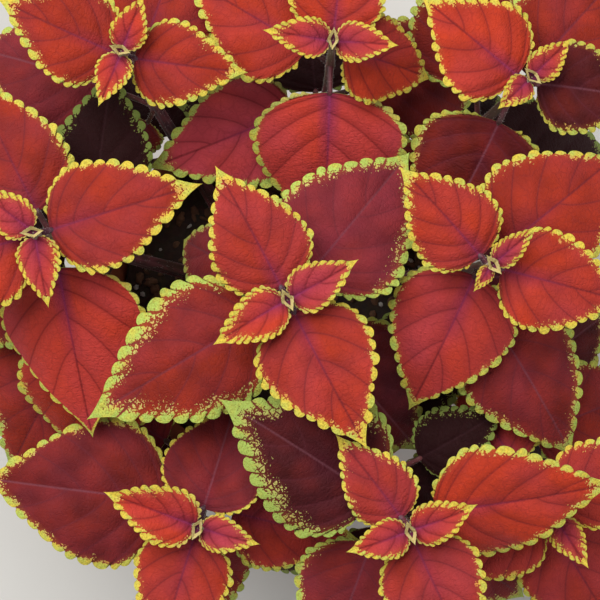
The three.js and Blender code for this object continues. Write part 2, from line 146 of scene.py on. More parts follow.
# Matt painted board, faintly clouded at 110 mm, so that the floor only catches a soft shadow.
board, tree = new_material("matt painted board")
spot = add(tree, "TexCoord").outputs["Object"]
mottle = add(tree, "TexNoise", {"Vector": spot, "Scale": 9.0, "Detail": 3.0})
colour = add(tree, "Mix", {"Factor": mottle, "A": "#cbc8c1", "B": "#d3d0ca"}, data_type="RGBA")
paint = add(tree, "BsdfPrincipled", {"Base Color": colour, "Roughness": 0.85})
add(tree, "OutputMaterial", {"Surface": paint})

FLOOR_REACH = 4000

corners = [[-1, -1, 0], [1, -1, 0], [1, 1, 0], [-1, 1, 0]]
floor = piece("floor", FLOOR_REACH * np.array(corners), [[[0, 1, 2, 3]]], board)

# ---- pot ---------------------------------------------------------------------------------------
# A plain round nursery pot, injection moulded in one piece from terracotta-brown polypropylene:
# a tapered wall, a plain band around the rim, and six drain holes in a flat floor.

POT_HEIGHT = 126
POT_FOOT_RADIUS = 55
POT_RIM_RADIUS = 80
POT_WALL = 2.4
POT_FLOOR = 3
RIM_BAND = 22
RIM_STEP = 2.6
DRAIN_HOLES = 6
DRAIN_RADIUS = 4.5
DRAIN_RING = 40
CORNER_EASE = 1.6
POT_SIDES = 144
DRAIN_SIDES = 28


def wall_at(z):
    """The radius of the pot's outer wall at a height: it widens evenly from foot to rim band."""
    return POT_FOOT_RADIUS + (POT_RIM_RADIUS - RIM_STEP - POT_FOOT_RADIUS) * z / POT_HEIGHT


def eased(profile, radius, steps=5):
    """A profile of (r, z) points with each corner replaced by a short parabola that starts and
    ends the given distance from it, or a third of the way to its neighbour if that is nearer."""
    profile = np.array(profile, float)
    out = [profile[:1]]
    t = np.linspace(0, 1, steps)[:, None]
    for before, corner, after in zip(profile[:-2], profile[1:-1], profile[2:]):
        ends = []
        for other in (before, after):
            length = np.linalg.norm(other - corner)
            ends.append(corner + (other - corner) * min(radius, length / 3) / length)
        out.append((1 - t) ** 2 * ends[0] + 2 * t * (1 - t) * corner + t**2 * ends[1])
    out.append(profile[-1:])
    return np.concatenate(out)


def grid(rows, columns, start=0, closed=False):
    """The quads of a grid of points numbered row by row. They face the way that columns crossed
    with rows point. closed joins the last column to the first."""
    number = start + np.arange(rows * columns).reshape(rows, columns)
    if closed:
        number = np.concatenate([number, number[:, :1]], 1)
    corners = [number[:-1, :-1], number[:-1, 1:], number[1:, 1:], number[1:, :-1]]
    return np.stack(corners, -1).reshape(-1, 4)


def tube(rings, sides):
    """The faces of a closed tube, ring by ring: its wall of quads, and a face over either end."""
    ring = np.arange(sides)[None]
    return [grid(rings, sides, 0, True), ring[:, ::-1], ring + (rings - 1) * sides]


def lathe(profile, sides):
    """A profile of (r, z) points turned about Z. A first or last point on the axis is one point
    with a fan of triangles. Faces point to the right of the profile as it is drawn."""
    r, z = profile[1:-1].T
    angle = np.linspace(0, 2 * np.pi, sides, endpoint=False)
    rings = np.stack(
        [r[:, None] * np.cos(angle), r[:, None] * np.sin(angle), z[:, None] + 0 * angle], -1
    ).reshape(-1, 3)
    first = len(rings)
    points = np.concatenate([rings, [[0, 0, profile[0, 1]], [0, 0, profile[-1, 1]]]])
    here = np.arange(sides)
    there = here + (len(r) - 1) * sides
    fans = [
        np.stack([np.full(sides, first), np.roll(here, -1), here], 1),
        np.stack([np.full(sides, first + 1), there, np.roll(there, -1)], 1),
    ]
    return points, [grid(len(r), sides, 0, True), *fans]


# Moulded polypropylene: satin, pigment faintly mottled at 17 mm, and a dusty bloom of lime and
# soil in specks of 4 mm, thickest at the foot. The mould's spark texture is finer than the 0.7 mm
# that it is drawn at, to show at all.
polypropylene, tree = new_material("moulded polypropylene")
spot = add(tree, "TexCoord").outputs["Object"]
pigment = add(tree, "TexNoise", {"Vector": spot, "Scale": 60.0, "Detail": 4.0})
colour = add(tree, "Mix", {"Factor": pigment, "A": "#94492f", "B": "#b06243"}, data_type="RGBA")
height = add(tree, "SeparateXYZ", {"Vector": spot})
low = add(tree, "MapRange", {0: height.outputs["Z"], 1: 0.0, 2: 0.05, 3: 0.75, 4: 0.1})
specks = add(tree, "TexNoise", {"Vector": spot, "Scale": 240.0, "Detail": 5.0, "Roughness": 0.7})
dusty = add(tree, "MapRange", {0: specks, 1: 0.5, 2: 0.72, 3: 0.0, 4: 0.8})
share = add(tree, "Math", {0: low, 1: dusty}, operation="MULTIPLY")
colour = add(tree, "Mix", {"Factor": share, "A": colour, "B": "#9c8470"}, data_type="RGBA")
shine = add(tree, "MapRange", {0: share, 3: 0.46, 4: 0.85})
spark = add(tree, "TexNoise", {"Vector": spot, "Scale": 1400.0, "Detail": 1.0})
relief = add(tree, "Bump", {"Height": spark, "Strength": 0.35, "Distance": 0.0002})
plastic = add(
    tree,
    "BsdfPrincipled",
    {"Base Color": colour, "Roughness": shine, "Normal": relief, "IOR": 1.49},
)
add(tree, "OutputMaterial", {"Surface": plastic})

band_foot = POT_HEIGHT - RIM_BAND
outline = eased(
    [
        (0, 0),
        (POT_FOOT_RADIUS - 0.2, 0),
        (wall_at(band_foot), band_foot),
        (wall_at(band_foot) + RIM_STEP, band_foot + 1.5),
        (POT_RIM_RADIUS, POT_HEIGHT - 0.2),
        (POT_RIM_RADIUS - POT_WALL - 1, POT_HEIGHT - 0.2),
        (wall_at(band_foot) - POT_WALL, band_foot),
        (wall_at(POT_FLOOR) - POT_WALL, POT_FLOOR),
        (0, POT_FLOOR),
    ],
    CORNER_EASE,
)
points, faces = lathe(outline, POT_SIDES)
pot = piece("pot_moulding", points, faces, polypropylene)

# The drain holes are cut out by six closed prisms that reach through the floor.
around = np.linspace(0, 2 * np.pi, DRAIN_SIDES, endpoint=False)
bores, walls = [], []
for hole in range(DRAIN_HOLES):
    angle = 2 * np.pi * (hole + 0.5) / DRAIN_HOLES
    x, y = DRAIN_RING * np.cos(angle), DRAIN_RING * np.sin(angle)
    ring = np.stack([x + DRAIN_RADIUS * np.cos(around), y + DRAIN_RADIUS * np.sin(around)], 1)
    bores += [np.c_[ring, np.full(DRAIN_SIDES, z)] for z in (-2.0 * POT_FLOOR, 3.0 * POT_FLOOR)]
    walls += [part + hole * 2 * DRAIN_SIDES for part in tube(2, DRAIN_SIDES)]
drills = piece("drain_drills", np.concatenate(bores), walls, polypropylene)
cut = pot.modifiers.new("drain holes", "BOOLEAN")
cut.operation = "DIFFERENCE"
cut.solver = "EXACT"
cut.object = drills
drained = bpy.data.meshes.new_from_object(pot.evaluated_get(bpy.context.evaluated_depsgraph_get()))
pot.modifiers.clear()
pot.data = drained
bpy.data.objects.remove(drills)
drained.shade_smooth()
drained.set_sharp_from_angle(angle=math.radians(40))
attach(pot, "root")
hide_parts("pot")

# ---- potting mix -------------------------------------------------------------------------------
# Moist peat-free potting mix that fills the pot to a finger's breadth below the rim: dark brown
# crumbs with chips of composted bark and a few white beads of perlite pressed into its top.

SOIL_TOP = 110
SOIL_GAP = 0.35
SOIL_RELIEF = 1.6
SOIL_SINK = 2.1
LATTICE = 64
SOIL_SIDES = 150
SOIL_RINGS = 64
CHIP_SPREAD = 68

draw = np.random.default_rng(11)
lattice = draw.random((LATTICE, LATTICE))


def crumble(x, y, size):
    """Smooth random heights from 0 to 1: a repeating table of random numbers, size millimetres
    apart, read between its entries with a smooth step."""
    i, j = np.floor(x / size).astype(int), np.floor(y / size).astype(int)
    a, b = x / size - i, y / size - j
    a, b = a * a * (3 - 2 * a), b * b * (3 - 2 * b)
    left, right, near, far = i % LATTICE, (i + 1) % LATTICE, j % LATTICE, (j + 1) % LATTICE
    low = lattice[left, near] * (1 - a) + lattice[right, near] * a
    high = lattice[left, far] * (1 - a) + lattice[right, far] * a
    return low * (1 - b) + high * b


def soil_height(x, y):
    """The top of the mix: the part's own low swell, and crumbs of three sizes on it."""
    swell = SOIL_RELIEF * np.sin(x / 7 + 1) * np.cos(y / 6)
    crumbs = 1.3 * crumble(x, y, 7) + 1.2 * crumble(x + 31, y, 3) + 0.9 * crumble(x, y + 77, 1.5)
    return SOIL_TOP + 0.8 * swell + crumbs - SOIL_SINK


# Wet bark, peat and coir: matt, nearly black between grains of 2.4 mm and brown on top of them,
# in clods of 3.3 mm that each have a tint of their own. The black between the grains is partly
# the peat's own colour and partly painted shade in the hollows.
mix_stuff, tree = new_material("moist potting mix")
spot = add(tree, "TexCoord").outputs["Object"]
grains = add(tree, "TexNoise", {"Vector": spot, "Scale": 420.0, "Detail": 6.0, "Roughness": 0.7})
clods = add(tree, "TexVoronoi", {"Vector": spot, "Scale": 300.0})
# painted shade: the colour follows the grains' relief and is darkest in the hollows between them
colour = add(tree, "Mix", {"Factor": grains, "A": "#130d0a", "B": "#4a3526"}, data_type="RGBA")
colour = add(
    tree,
    "Mix",
    {"Factor": 0.35, "A": colour, "B": clods.outputs["Color"]},
    data_type="RGBA",
    blend_type="MULTIPLY",
)
relief = add(tree, "Bump", {"Height": grains, "Strength": 0.8, "Distance": 0.001})
matt = add(tree, "BsdfPrincipled", {"Base Color": colour, "Roughness": 0.93, "Normal": relief})
add(tree, "OutputMaterial", {"Surface": matt})

# The mix itself is one closed body: under side, the wall beside the pot, and the uneven top.
inner = wall_at(np.array([POT_FLOOR, band_foot])) - POT_WALL - 2 * SOIL_GAP
profile = np.concatenate(
    [
        [[0, POT_FLOOR + SOIL_GAP], [inner[0], POT_FLOOR + SOIL_GAP], [inner[1], band_foot]],
        np.linspace([inner[1] + 0.2, SOIL_TOP], [0, SOIL_TOP], SOIL_RINGS),
    ]
)
points, faces = lathe(profile, SOIL_SIDES)
top = points[:, 2] == SOIL_TOP
points[top, 2] = soil_height(points[top, 0], points[top, 1])
mix = piece("mix_body", points, faces, mix_stuff)


def scattered(count, sizes, sink, seed):
    """Many small lumps on the mix. Each is a ball of four rings and two poles with every point
    moved in or out at random, stretched to its own size along each axis, between the smallest and
    the largest sizes given, turned its own way and set on the top of the mix, sunk by the given
    share of its thickness."""
    own = np.random.default_rng(seed)
    latitude = np.radians([-90, -54, -18, 18, 54, 90])
    ball, faces = lathe(np.stack([np.cos(latitude), np.sin(latitude)], 1), 6)
    shape = ball * (0.78 + 0.44 * own.random((count, len(ball), 1)))
    shape = shape * (own.uniform(*sizes, (count, 1, 3)) / 2)
    yaw, tilt = own.uniform(0, 2 * np.pi, count), own.normal(0, 0.25, count)
    c, s, zero, one = np.cos(yaw), np.sin(yaw), np.zeros(count), np.ones(count)
    spin = np.array([[c, -s, zero], [s, c, zero], [zero, zero, one]]).transpose(2, 0, 1)
    c, s = np.cos(tilt), np.sin(tilt)
    lean = np.array([[one, zero, zero], [zero, c, -s], [zero, s, c]]).transpose(2, 0, 1)
    shape = np.einsum("nij,njk,nvk->nvi", spin, lean, shape)
    far = CHIP_SPREAD * np.sqrt(own.random(count))
    way = own.uniform(0, 2 * np.pi, count)
    x, y = far * np.cos(way), far * np.sin(way)
    thick = shape[..., 2].max(1)
    shape += np.stack([x, y, soil_height(x, y) + thick * (1 - 2 * sink)], 1)[:, None]
    start = len(ball) * np.arange(count)[:, None, None]
    return shape.reshape(-1, 3), [(part + start).reshape(-1, part.shape[1]) for part in faces]


# Composted pine bark: flat brown chips, paler and redder than the peat around them, with a
# twisted grain of 3 mm.
bark_stuff, tree = new_material("composted bark")
spot = add(tree, "TexCoord").outputs["Object"]
fibre = add(tree, "TexNoise", {"Vector": spot, "Scale": 320.0, "Detail": 5.0, "Distortion": 1.5})
colour = add(tree, "Mix", {"Factor": fibre, "A": "#2c1a10", "B": "#7b5436"}, data_type="RGBA")
relief = add(tree, "Bump", {"Height": fibre, "Strength": 0.7, "Distance": 0.0006})
matt = add(tree, "BsdfPrincipled", {"Base Color": colour, "Roughness": 0.85, "Normal": relief})
add(tree, "OutputMaterial", {"Surface": matt})
chips = scattered(count=420, sizes=([1.5, 2.5, 0.8], [4.5, 8.5, 2.2]), sink=0.35, seed=5)
bark = piece("mix_bark_chips", *chips, bark_stuff)

# Perlite: expanded volcanic glass, white, quite matt, and porous at 0.7 mm, with painted shade
# greying its pores.
perlite_stuff, tree = new_material("perlite")
spot = add(tree, "TexCoord").outputs["Object"]
pores = add(tree, "TexNoise", {"Vector": spot, "Scale": 1500.0, "Detail": 3.0})
# painted shade: greyer in the sunken pores, white on the raised glass
colour = add(tree, "Mix", {"Factor": pores, "A": "#8f897d", "B": "#c4c0b8"}, data_type="RGBA")
relief = add(tree, "Bump", {"Height": pores, "Strength": 0.6, "Distance": 0.0004})
matt = add(tree, "BsdfPrincipled", {"Base Color": colour, "Roughness": 0.9, "Normal": relief})
add(tree, "OutputMaterial", {"Surface": matt})
beads = scattered(count=60, sizes=([1.2, 1.2, 1.2], [3.6, 3.6, 3.2]), sink=0.4, seed=9)
perlite = piece("mix_perlite", *beads, perlite_stuff)

for made in (mix, bark, perlite):
    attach(made, "root")
    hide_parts("potting_mix")

# ---- how the leafy stems stand -----------------------------------------------------------------
# Nine square stems grow from the mix and lean outwards. Each carries opposite pairs of leaves,
# every pair turned a quarter from the one above, below a bud of two folded leaves.

LEAN_FROM = SOIL_TOP + 4
STEM_DEPTH = 26
STEM_FOOT_HALF = 2.7
STEM_TOP_HALF = 1.2
STEM_BOW = 1.8
PETIOLE_RADIUS = 1.15
PETIOLE_LIFT = 24
TOOTH_SHARE = 0.024
WIDEST = 0.28

# Down a stem: how far each pair sits below the tip, the length of its stalk, and how its blade is
# folded, cupped and arched; then how old its leaves look, from 0 when they have just unfolded to
# 1 when they are full grown and maroon, and how lime their margins are instead of yellow and how
# mauve their red is, both from 0 to 1. An age past 1 is painted shade on the deepest leaves: their
# red darkens nearly to black and their margins turn dull green. An age a little under 0 is painted
# light: it lightens a leaf that lies in shade a little. A bud has an age of -0.5.
# The last row is for the leaves of short side shoots, which stand between the two oldest pairs.
PAIRS = [
    dict(drop=3, stalk=1.6, fold=0.34, cup=0.2, arch=22, age=0.05, lime=0.05, mauve=0.5),
    dict(drop=11, stalk=5, fold=0.2, cup=0.24, arch=28, age=0.33, lime=0.2, mauve=0.1),
    dict(drop=27, stalk=12, fold=0.14, cup=0.28, arch=36, age=0.45, lime=0.5, mauve=0.3),
    dict(drop=50, stalk=20, fold=0.1, cup=0.3, arch=42, age=0.7, lime=0.85, mauve=0.4),
    dict(drop=76, stalk=26, fold=0.08, cup=0.28, arch=44, age=1.12, lime=1.0, mauve=0.4),
    dict(drop=62, stalk=24, fold=0.1, cup=0.28, arch=36, age=1.1, lime=0.9, mauve=0.4),
]
BUD = dict(drop=0.5, stalk=0.6, fold=0.9, cup=0.1, arch=30, age=-0.5, lime=0.3, mauve=0.9)
BUD_LENGTH = 6.5
BUD_RISE = 62

# A leaf is (heading, blade length, rise of the blade's base, what it does otherwise than its pair).
STEMS = [
    ("centre", (-1, 1), (1, 0, 240), [
        [(209, 31, 14), (28, 29, 20)],
        [(117, 52, 12, dict(broad=0.72)), (297, 58, 13, dict(broad=0.76))],
        [(210, 79, 5, dict(broad=0.66, arch=26, age=0.62, lime=0.9, mauve=0.15, margin=3.0)),
         (50, 66, 6, dict(broad=0.82, arch=44, age=0.69, lime=1.0, mauve=0.8, margin=2.1))],
        [(150, 48, -26), (305, 72, -4, dict(age=0.9))],
        [(212, 62, -14)],
    ]),
    ("right", (40, 8), (77, 13, 231), [
        [(41, 21, 26, dict(broad=0.46)), (233, 12, 30, dict(broad=0.5))],
        [(132, 46, 16, dict(broad=0.76)), (-15, 52, 12, dict(broad=0.74))],
        [(245, 62, 4, dict(broad=0.8, stalk=4, age=0.22, lime=0.6, mauve=0.5, margin=1.2)),
         (39, 62, 10, dict(broad=0.84, age=0.47, lime=0.4, mauve=0.05))],
        [(-58, 70, 0, dict(broad=0.7, stalk=24, age=0.7))],
        [(20, 68, -12), (270, 60, 6, dict(stalk=14, age=1.2))],
        [(-6, 68, -12, dict(stalk=12))],
    ]),
    ("left", (-40, 11), (-93, 25, 233), [
        [(-80, 27, 8), (142, 27, 16)],
        [(17, 60, 12, dict(broad=0.68, arch=22, age=0.46)), (196, 56, 12)],
        [(-80, 72, -5, dict(broad=0.82, arch=20, roll=20, age=-0.1, lime=0.3, mauve=0.4, margin=0.5)),
         (118, 62, 6, dict(broad=0.68, age=0.55))],
        [(-86, 68, -4, dict(stalk=36, broad=0.88, age=0.25, lime=0.4, mauve=0.2)), (204, 68, -8)],
        [(150, 66, -12), (250, 76, -6, dict(stalk=36, age=0.55))],
        [(80, 54, 6, dict(age=1.3)), (178, 62, -12, dict(stalk=12))],
    ]),
    ("back", (11, 38), (18, 98, 218), [
        [(172, 26, 20), (-4, 24, 20)],
        [(84, 46, 14), (-12, 44, 10)],
        [(-91, 70, -8, dict(broad=0.86, arch=46, age=-0.1, lime=0.6, mauve=0.5)), (150, 58, 8)],
        [(203, 66, -5, dict(broad=0.7, arch=10, stalk=14, age=-0.05, mauve=1.0)), (14, 66, -8)],
        [(95, 70, -8)],
        [(172, 46, -8)],
    ]),
    ("back_right", (35, 32), (93, 84, 218), [
        [(224, 17, 24), (46, 20, 24)],
        [(142, 48, 12, dict(broad=0.84)), (-6, 46, 10, dict(age=0.95))],
        [(50, 62, 6), (246, 62, -8, dict(broad=0.88, age=0.85))],
        [(200, 56, -14), (96, 66, -4)],
        [(6, 74, -14), (60, 56, -10, dict(stalk=12))],
    ]),
    ("back_left", (-27, 35), (-62, 94, 218), [
        [(70, 22, 20), (250, 22, 20)],
        [(158, 50, 14), (-10, 44, 14)],
        [(72, 64, 6)],
        [(160, 68, -4), (240, 28, -10, dict(stalk=8))],
        [(112, 66, -10, dict(stalk=10)), (185, 60, -20)],
    ]),
    ("front", (19, -36), (46, -85, 238), [
        [(200, 24, 20), (20, 26, 20)],
        [(126, 40, 7, dict(broad=0.66, age=0.4, mauve=0.5)), (-66, 52, 12)],
        [(8, 70, 4, dict(broad=0.64, arch=20, roll=20, age=0.25, lime=0.4, mauve=0.1)),
         (146, 70, 7, dict(broad=0.8, arch=6, age=0.97, lime=1.0, mauve=0.35, margin=3.4))],
        [(-110, 64, -4), (-40, 64, -8)],
        [(-88, 66, -12), (222, 64, -14)],
        [(48, 54, -14, dict(stalk=18, age=1.3)), (-12, 36, -16, dict(stalk=8, age=1.3))],
    ]),
    ("front_left", (-27, -34), (-34, -88, 202), [
        [(157, 38, 14, dict(fold=0.6)), (-16, 24, 20)],
        [(72, 46, 16, dict(broad=0.92, fold=0.4, roll=-20, age=0.75, mauve=0.6, margin=0.5)),
         (252, 52, 10)],
        [(173, 78, 6, dict(broad=0.76, stalk=16, age=0.78)), (-14, 54, 4)],
        [(150, 64, -6), (262, 66, -6)],
        [],
        [(199, 86, -4, dict(stalk=16))],
    ]),
    ("front_right", (42, -20), (104, -84, 204), [
        [(120, 22, 20), (-58, 22, 20)],
        [(32, 48, 8), (212, 46, 4)],
        [(-58, 64, 6), (118, 52, -18)],
        [(20, 66, -6), (236, 62, -6)],
        [(290, 70, -12)],
        [(36, 68, -10), (-20, 56, -14, dict(stalk=8))],
    ]),
]


def scatter(n):
    """A repeatable draw from 0 to 1 for the whole number n: a leaf's number, and 100 more for each
    further thing that is drawn for it."""
    return ((n * 7919 + 31) % 997) / 997


def stem_axis(foot, top, z):
    """The axis of a stem at heights z: upright in the mix, leaning out above it along a curve
    that is upright again at the tip."""
    climbed = np.clip((z - LEAN_FROM) / (top[2] - LEAN_FROM), 0, 1)
    out = 1 - (1 - climbed) ** STEM_BOW
    return np.stack(
        [foot[0] + (top[0] - foot[0]) * out, foot[1] + (top[1] - foot[1]) * out, z + 0 * out], -1
    )


def make_leaf(foot, top, number, level, pair, heading, length, rise, own={}):
    """All that shapes one leaf. number tells the leaves apart, for their small differences."""
    broad = (0.6 if length < 40 else 0.74) + 0.08 * (scatter(number + 500) - 0.5)
    spread = scatter(number + 600) - 0.5
    lime = own.get("lime", min(1, max(0, pair["lime"] + 0.3 * spread)))
    return dict(
        root=stem_axis(foot, top, np.float64(top[2] - pair["drop"])),
        number=number,
        level=level,
        heading=heading,
        length=length,
        rise=rise,
        stalk=own.get("stalk", pair["stalk"] * (0.85 + 0.3 * scatter(number))),
        fold=own.get("fold", pair["fold"]),
        cup=pair["cup"],
        arch=own.get("arch", pair["arch"] * (0.8 + 0.4 * scatter(number + 100))),
        roll=own.get("roll", 12 * (scatter(number + 200) - 0.5)),
        sweep=0.1 * (scatter(number + 300) - 0.5),
        wave=0.022 * length,
        phase=2 * math.pi * scatter(number + 400),
        half=0.5 * length * own.get("broad", broad),
        age=own.get("age", pair["age"] + 0.3 * spread * (level > 0)),
        lime=lime,
        mauve=own.get("mauve", min(1, max(0, pair["mauve"] + 0.5 * (scatter(number + 700) - 0.5)))),
        margin=own.get("margin", (1.35 + 0.35 * lime + 0.35 * (level < 1)) * min(1, 0.6 + length / 80)),
    )


def half_width(leaf, u):
    """Half the width of a blade at the share u of its length: a quarter of an ellipse up to
    WIDEST, and from there a cosine to the power 1.4 that draws it out to a point."""
    base = np.sqrt(np.maximum(0, 1 - (1 - u / WIDEST) ** 2))
    point = np.cos(np.pi / 2 * np.clip((u - WIDEST) / (1 - WIDEST), 0, 1)) ** 1.4
    return leaf["half"] * np.where(u < WIDEST, base, point)


def arc(start, end, length, s):
    """A circular arc that turns from one angle to another over length, read at the distance s:
    how far out and up it has come, and its angle there."""
    bend = (end - start) / length
    angle = start + bend * s
    return (
        (np.sin(angle) - np.sin(start)) / bend,
        (np.cos(start) - np.cos(angle)) / bend,
        angle,
    )


def leaf_point(leaf, s, x, lift):
    """Points of a leaf: s along it, negative on the stalk, x across it, and lift off its middle
    surface. The stalk and the midrib are two arcs end to end. Across them the blade folds up
    evenly, cups down towards its edges, waves along its margins, and rolls about the midrib."""
    rise, heading = math.radians(leaf["rise"]), math.radians(leaf["heading"])
    steep, stalk = rise + math.radians(PETIOLE_LIFT), leaf["stalk"]
    out0, up0, _ = arc(steep, rise, stalk, stalk)
    out1, up1, angle1 = arc(steep, rise, stalk, stalk + s)
    out2, up2, angle2 = arc(rise, rise - math.radians(leaf["arch"]), leaf["length"], s)
    on_stalk = s < 0
    out = np.where(on_stalk, out1, out2 + out0)
    up = np.where(on_stalk, up1, up2 + up0)
    angle = np.where(on_stalk, angle1, angle2)
    u = np.maximum(0, s / leaf["length"])
    across = np.minimum(1, np.abs(x) / leaf["half"])
    height = (
        leaf["fold"] * np.abs(x)
        - leaf["cup"] * across * np.abs(x)
        + leaf["wave"]
        * np.sin(4 * math.pi * u + leaf["phase"] + np.where(x > 0, 1.3, 0))
        * across
        * across
        + lift
    )
    roll = math.radians(leaf["roll"]) * np.minimum(1, np.maximum(0, 1 + s / stalk))
    side = x + leaf["sweep"] * leaf["length"] * u * u
    sideways = side * np.cos(roll) - height * np.sin(roll)
    normal = side * np.sin(roll) + height * np.cos(roll)
    forward = out - normal * np.sin(angle)
    return np.stack(
        [
            leaf["root"][0] + forward * math.cos(heading) - sideways * math.sin(heading),
            leaf["root"][1] + forward * math.sin(heading) + sideways * math.cos(heading),
            leaf["root"][2] + up + normal * np.cos(angle),
        ],
        -1,
    )


# Space is claimed in small cells. A lower leaf gives way to what is already placed: it bends
# down, or up, or turns a little on the stem, until its blade and stalk are clear. A leaf claims
# CLAIM above and below its middle surface, and within OWN_STEM of its root it may lie in cells of
# its own stem and that stem's other leaves. OFFSET is from the first cell's corner to the origin,
# and its odd share keeps points that stand on whole millimetres off the cells' edges.
CELL = 3
CLAIM = 1.7
OWN_STEM = 13
CELLS = (160, 160, 113)
OFFSET = np.array([240.37, 240.37, 0.37])
POT_ROOM = POT_RIM_RADIUS + 3
POT_OWNER = 100
BENDS = [0, -4, -8, -12, -16, -20, -25, -30, -36, 4, 8, 12, 17, 22]
TURNS = [0, 6, -6, 12, -12, 19, -19, 27, -27, 36, -36]
SHRINK = [1, 0.88, 0.76]
claims = np.zeros(CELLS[0] * CELLS[1] * CELLS[2], np.uint8)


def cells_of(points):
    """The number of the cell that each point is in."""
    i, j, k = np.moveaxis(np.floor((points + OFFSET) / CELL).astype(np.int64), -1, 0)
    return (i * CELLS[1] + j) * CELLS[2] + k


def leaf_samples(leaf, lift):
    """Points over a leaf's blade and along its stalk, about 2 mm apart."""
    along = max(6, math.floor(leaf["length"] / 2 + 0.5))
    across = max(3, math.floor(leaf["half"] / 2 + 0.5))
    u = (np.arange(along + 1) / along)[:, None]
    edge = half_width(leaf, u) + TOOTH_SHARE * leaf["length"] * 0.5
    x = edge * np.arange(-across, across + 1) / across
    s = u * leaf["length"] + 0 * x
    down = np.arange(0, leaf["stalk"], 2.0)
    return leaf_point(leaf, np.r_[s.ravel(), -down], np.r_[x.ravel(), 0 * down], lift)


def claim_leaf(leaf, owner):
    """Marks the free cells that a leaf takes up."""
    for lift in (-CLAIM, 0, CLAIM):
        cell = cells_of(leaf_samples(leaf, lift))
        claims[cell[claims[cell] == 0]] = owner


def settle(leaf, owner):
    """The leaf as it lies among those already placed, or nothing where there is no room."""
    for share in SHRINK:
        for turn in TURNS:
            for bend in BENDS:
                tried = dict(
                    leaf,
                    heading=leaf["heading"] + turn,
                    rise=leaf["rise"] + bend,
                    length=leaf["length"] * share,
                    half=leaf["half"] * share,
                    wave=leaf["wave"] * share,
                )
                points = leaf_samples(tried, 0)
                held = claims[cells_of(points)]
                apart = np.hypot(*(points[:, :2] - leaf["root"][:2]).T)
                if np.all((held == 0) | ((held == owner) & (apart < OWN_STEM))):
                    return tried
    return None


# Room is given to the pot first, then to the stems, to the buds, and to the leaves of all stems
# pair by pair from the tips down.
steps = np.arange(-POT_ROOM, POT_ROOM + 1, 2.0)
x, y = np.meshgrid(steps, steps, indexing="ij")
inside = np.hypot(x, y) <= POT_ROOM
for z in range(0, POT_HEIGHT + 4, 2):
    claims[cells_of(np.stack([x[inside], y[inside], np.full(inside.sum(), z)], -1))] = POT_OWNER
for s, (_, foot, top, _) in enumerate(STEMS):
    for dx in (-3, 0, 3):
        for dy in (-3, 0, 3):
            axis = stem_axis(foot, top, np.arange(SOIL_TOP, top[2] + 0.01, 2.0))
            claims[cells_of(axis + [dx, dy, 0])] = s + 1
leaves = [[] for _ in STEMS]
for s, (_, foot, top, pairs) in enumerate(STEMS):
    for turn in (90, 270):
        heading = pairs[0][0][0] + turn
        leaf = make_leaf(foot, top, s * 20 + 10, -1, BUD, heading, BUD_LENGTH, BUD_RISE)
        leaves[s].append(leaf)
        claim_leaf(leaf, s + 1)
for level, pair in enumerate(PAIRS):
    for s, (_, foot, top, pairs) in enumerate(STEMS):
        for side, lie in enumerate(pairs[level] if level < len(pairs) else []):
            number = s * 20 + level * 2 + side
            leaf = settle(make_leaf(foot, top, number, level, pair, *lie), s + 1)
            if leaf:
                leaves[s].append(leaf)
                claim_leaf(leaf, s + 1)

# ---- stems and leaf stalks ---------------------------------------------------------------------
# Living stem: soft, square with a shallow channel down each face, a little swollen where a pair
# of leaf stalks joins it, and covered in short fine hairs. Stalks are round with a channel on top.

STEM_SIDES = 28
STEM_RINGS = 80
STEM_CHANNEL = 0.12
NODE_SWELL = 0.2
NODE_REACH = 2.4
STALK_SIDES = 11
STALK_RINGS = 16
STALK_CHANNEL = 0.22
HAIR_LENGTH = 0.8
HAIR_RADIUS = 0.05
HAIRS_ON_STEM = 700
HAIRS_ON_STALK = 60


def stem_shell(foot, top, turn, nodes):
    """The rings of a stem, and a mark for every point. Each level section is a rounded square, the
    curve on which the fifth powers of both shares add up to one, with a dip in the middle of each
    side. Half its width falls evenly from foot to tip and swells by a bell curve at each pair."""
    z = np.linspace(SOIL_TOP - STEM_DEPTH + 1, top[2], STEM_RINGS)
    climbed = np.clip((z - LEAN_FROM) / (top[2] - LEAN_FROM), 0, 1)
    half = STEM_FOOT_HALF + (STEM_TOP_HALF - STEM_FOOT_HALF) * climbed
    for node in nodes:
        half = half * (1 + NODE_SWELL * np.exp(-(((z - node) / NODE_REACH) ** 2)))
    phi = np.linspace(0, 2 * np.pi, STEM_SIDES, endpoint=False)
    square = (np.abs(np.cos(phi)) ** 5 + np.abs(np.sin(phi)) ** 5) ** -0.2
    square = square * (1 - STEM_CHANNEL * np.cos(2 * phi) ** 12)
    reach = half[:, None] * square
    axis = stem_axis(foot, top, z)[:, None]
    way = phi + math.radians(turn)
    points = axis + reach[..., None] * np.stack([np.cos(way), np.sin(way), 0 * way], -1)
    marks = [z[:, None] + 0 * reach, 2 * phi + 0 * reach, climbed[:, None] + 0 * reach]
    return points, np.stack(marks, -1)


def stalk_share(leaf):
    """How thick a leaf's stalk is, as a share of the stalk of a full-grown leaf."""
    return min(1, 0.35 + leaf["length"] / 60)


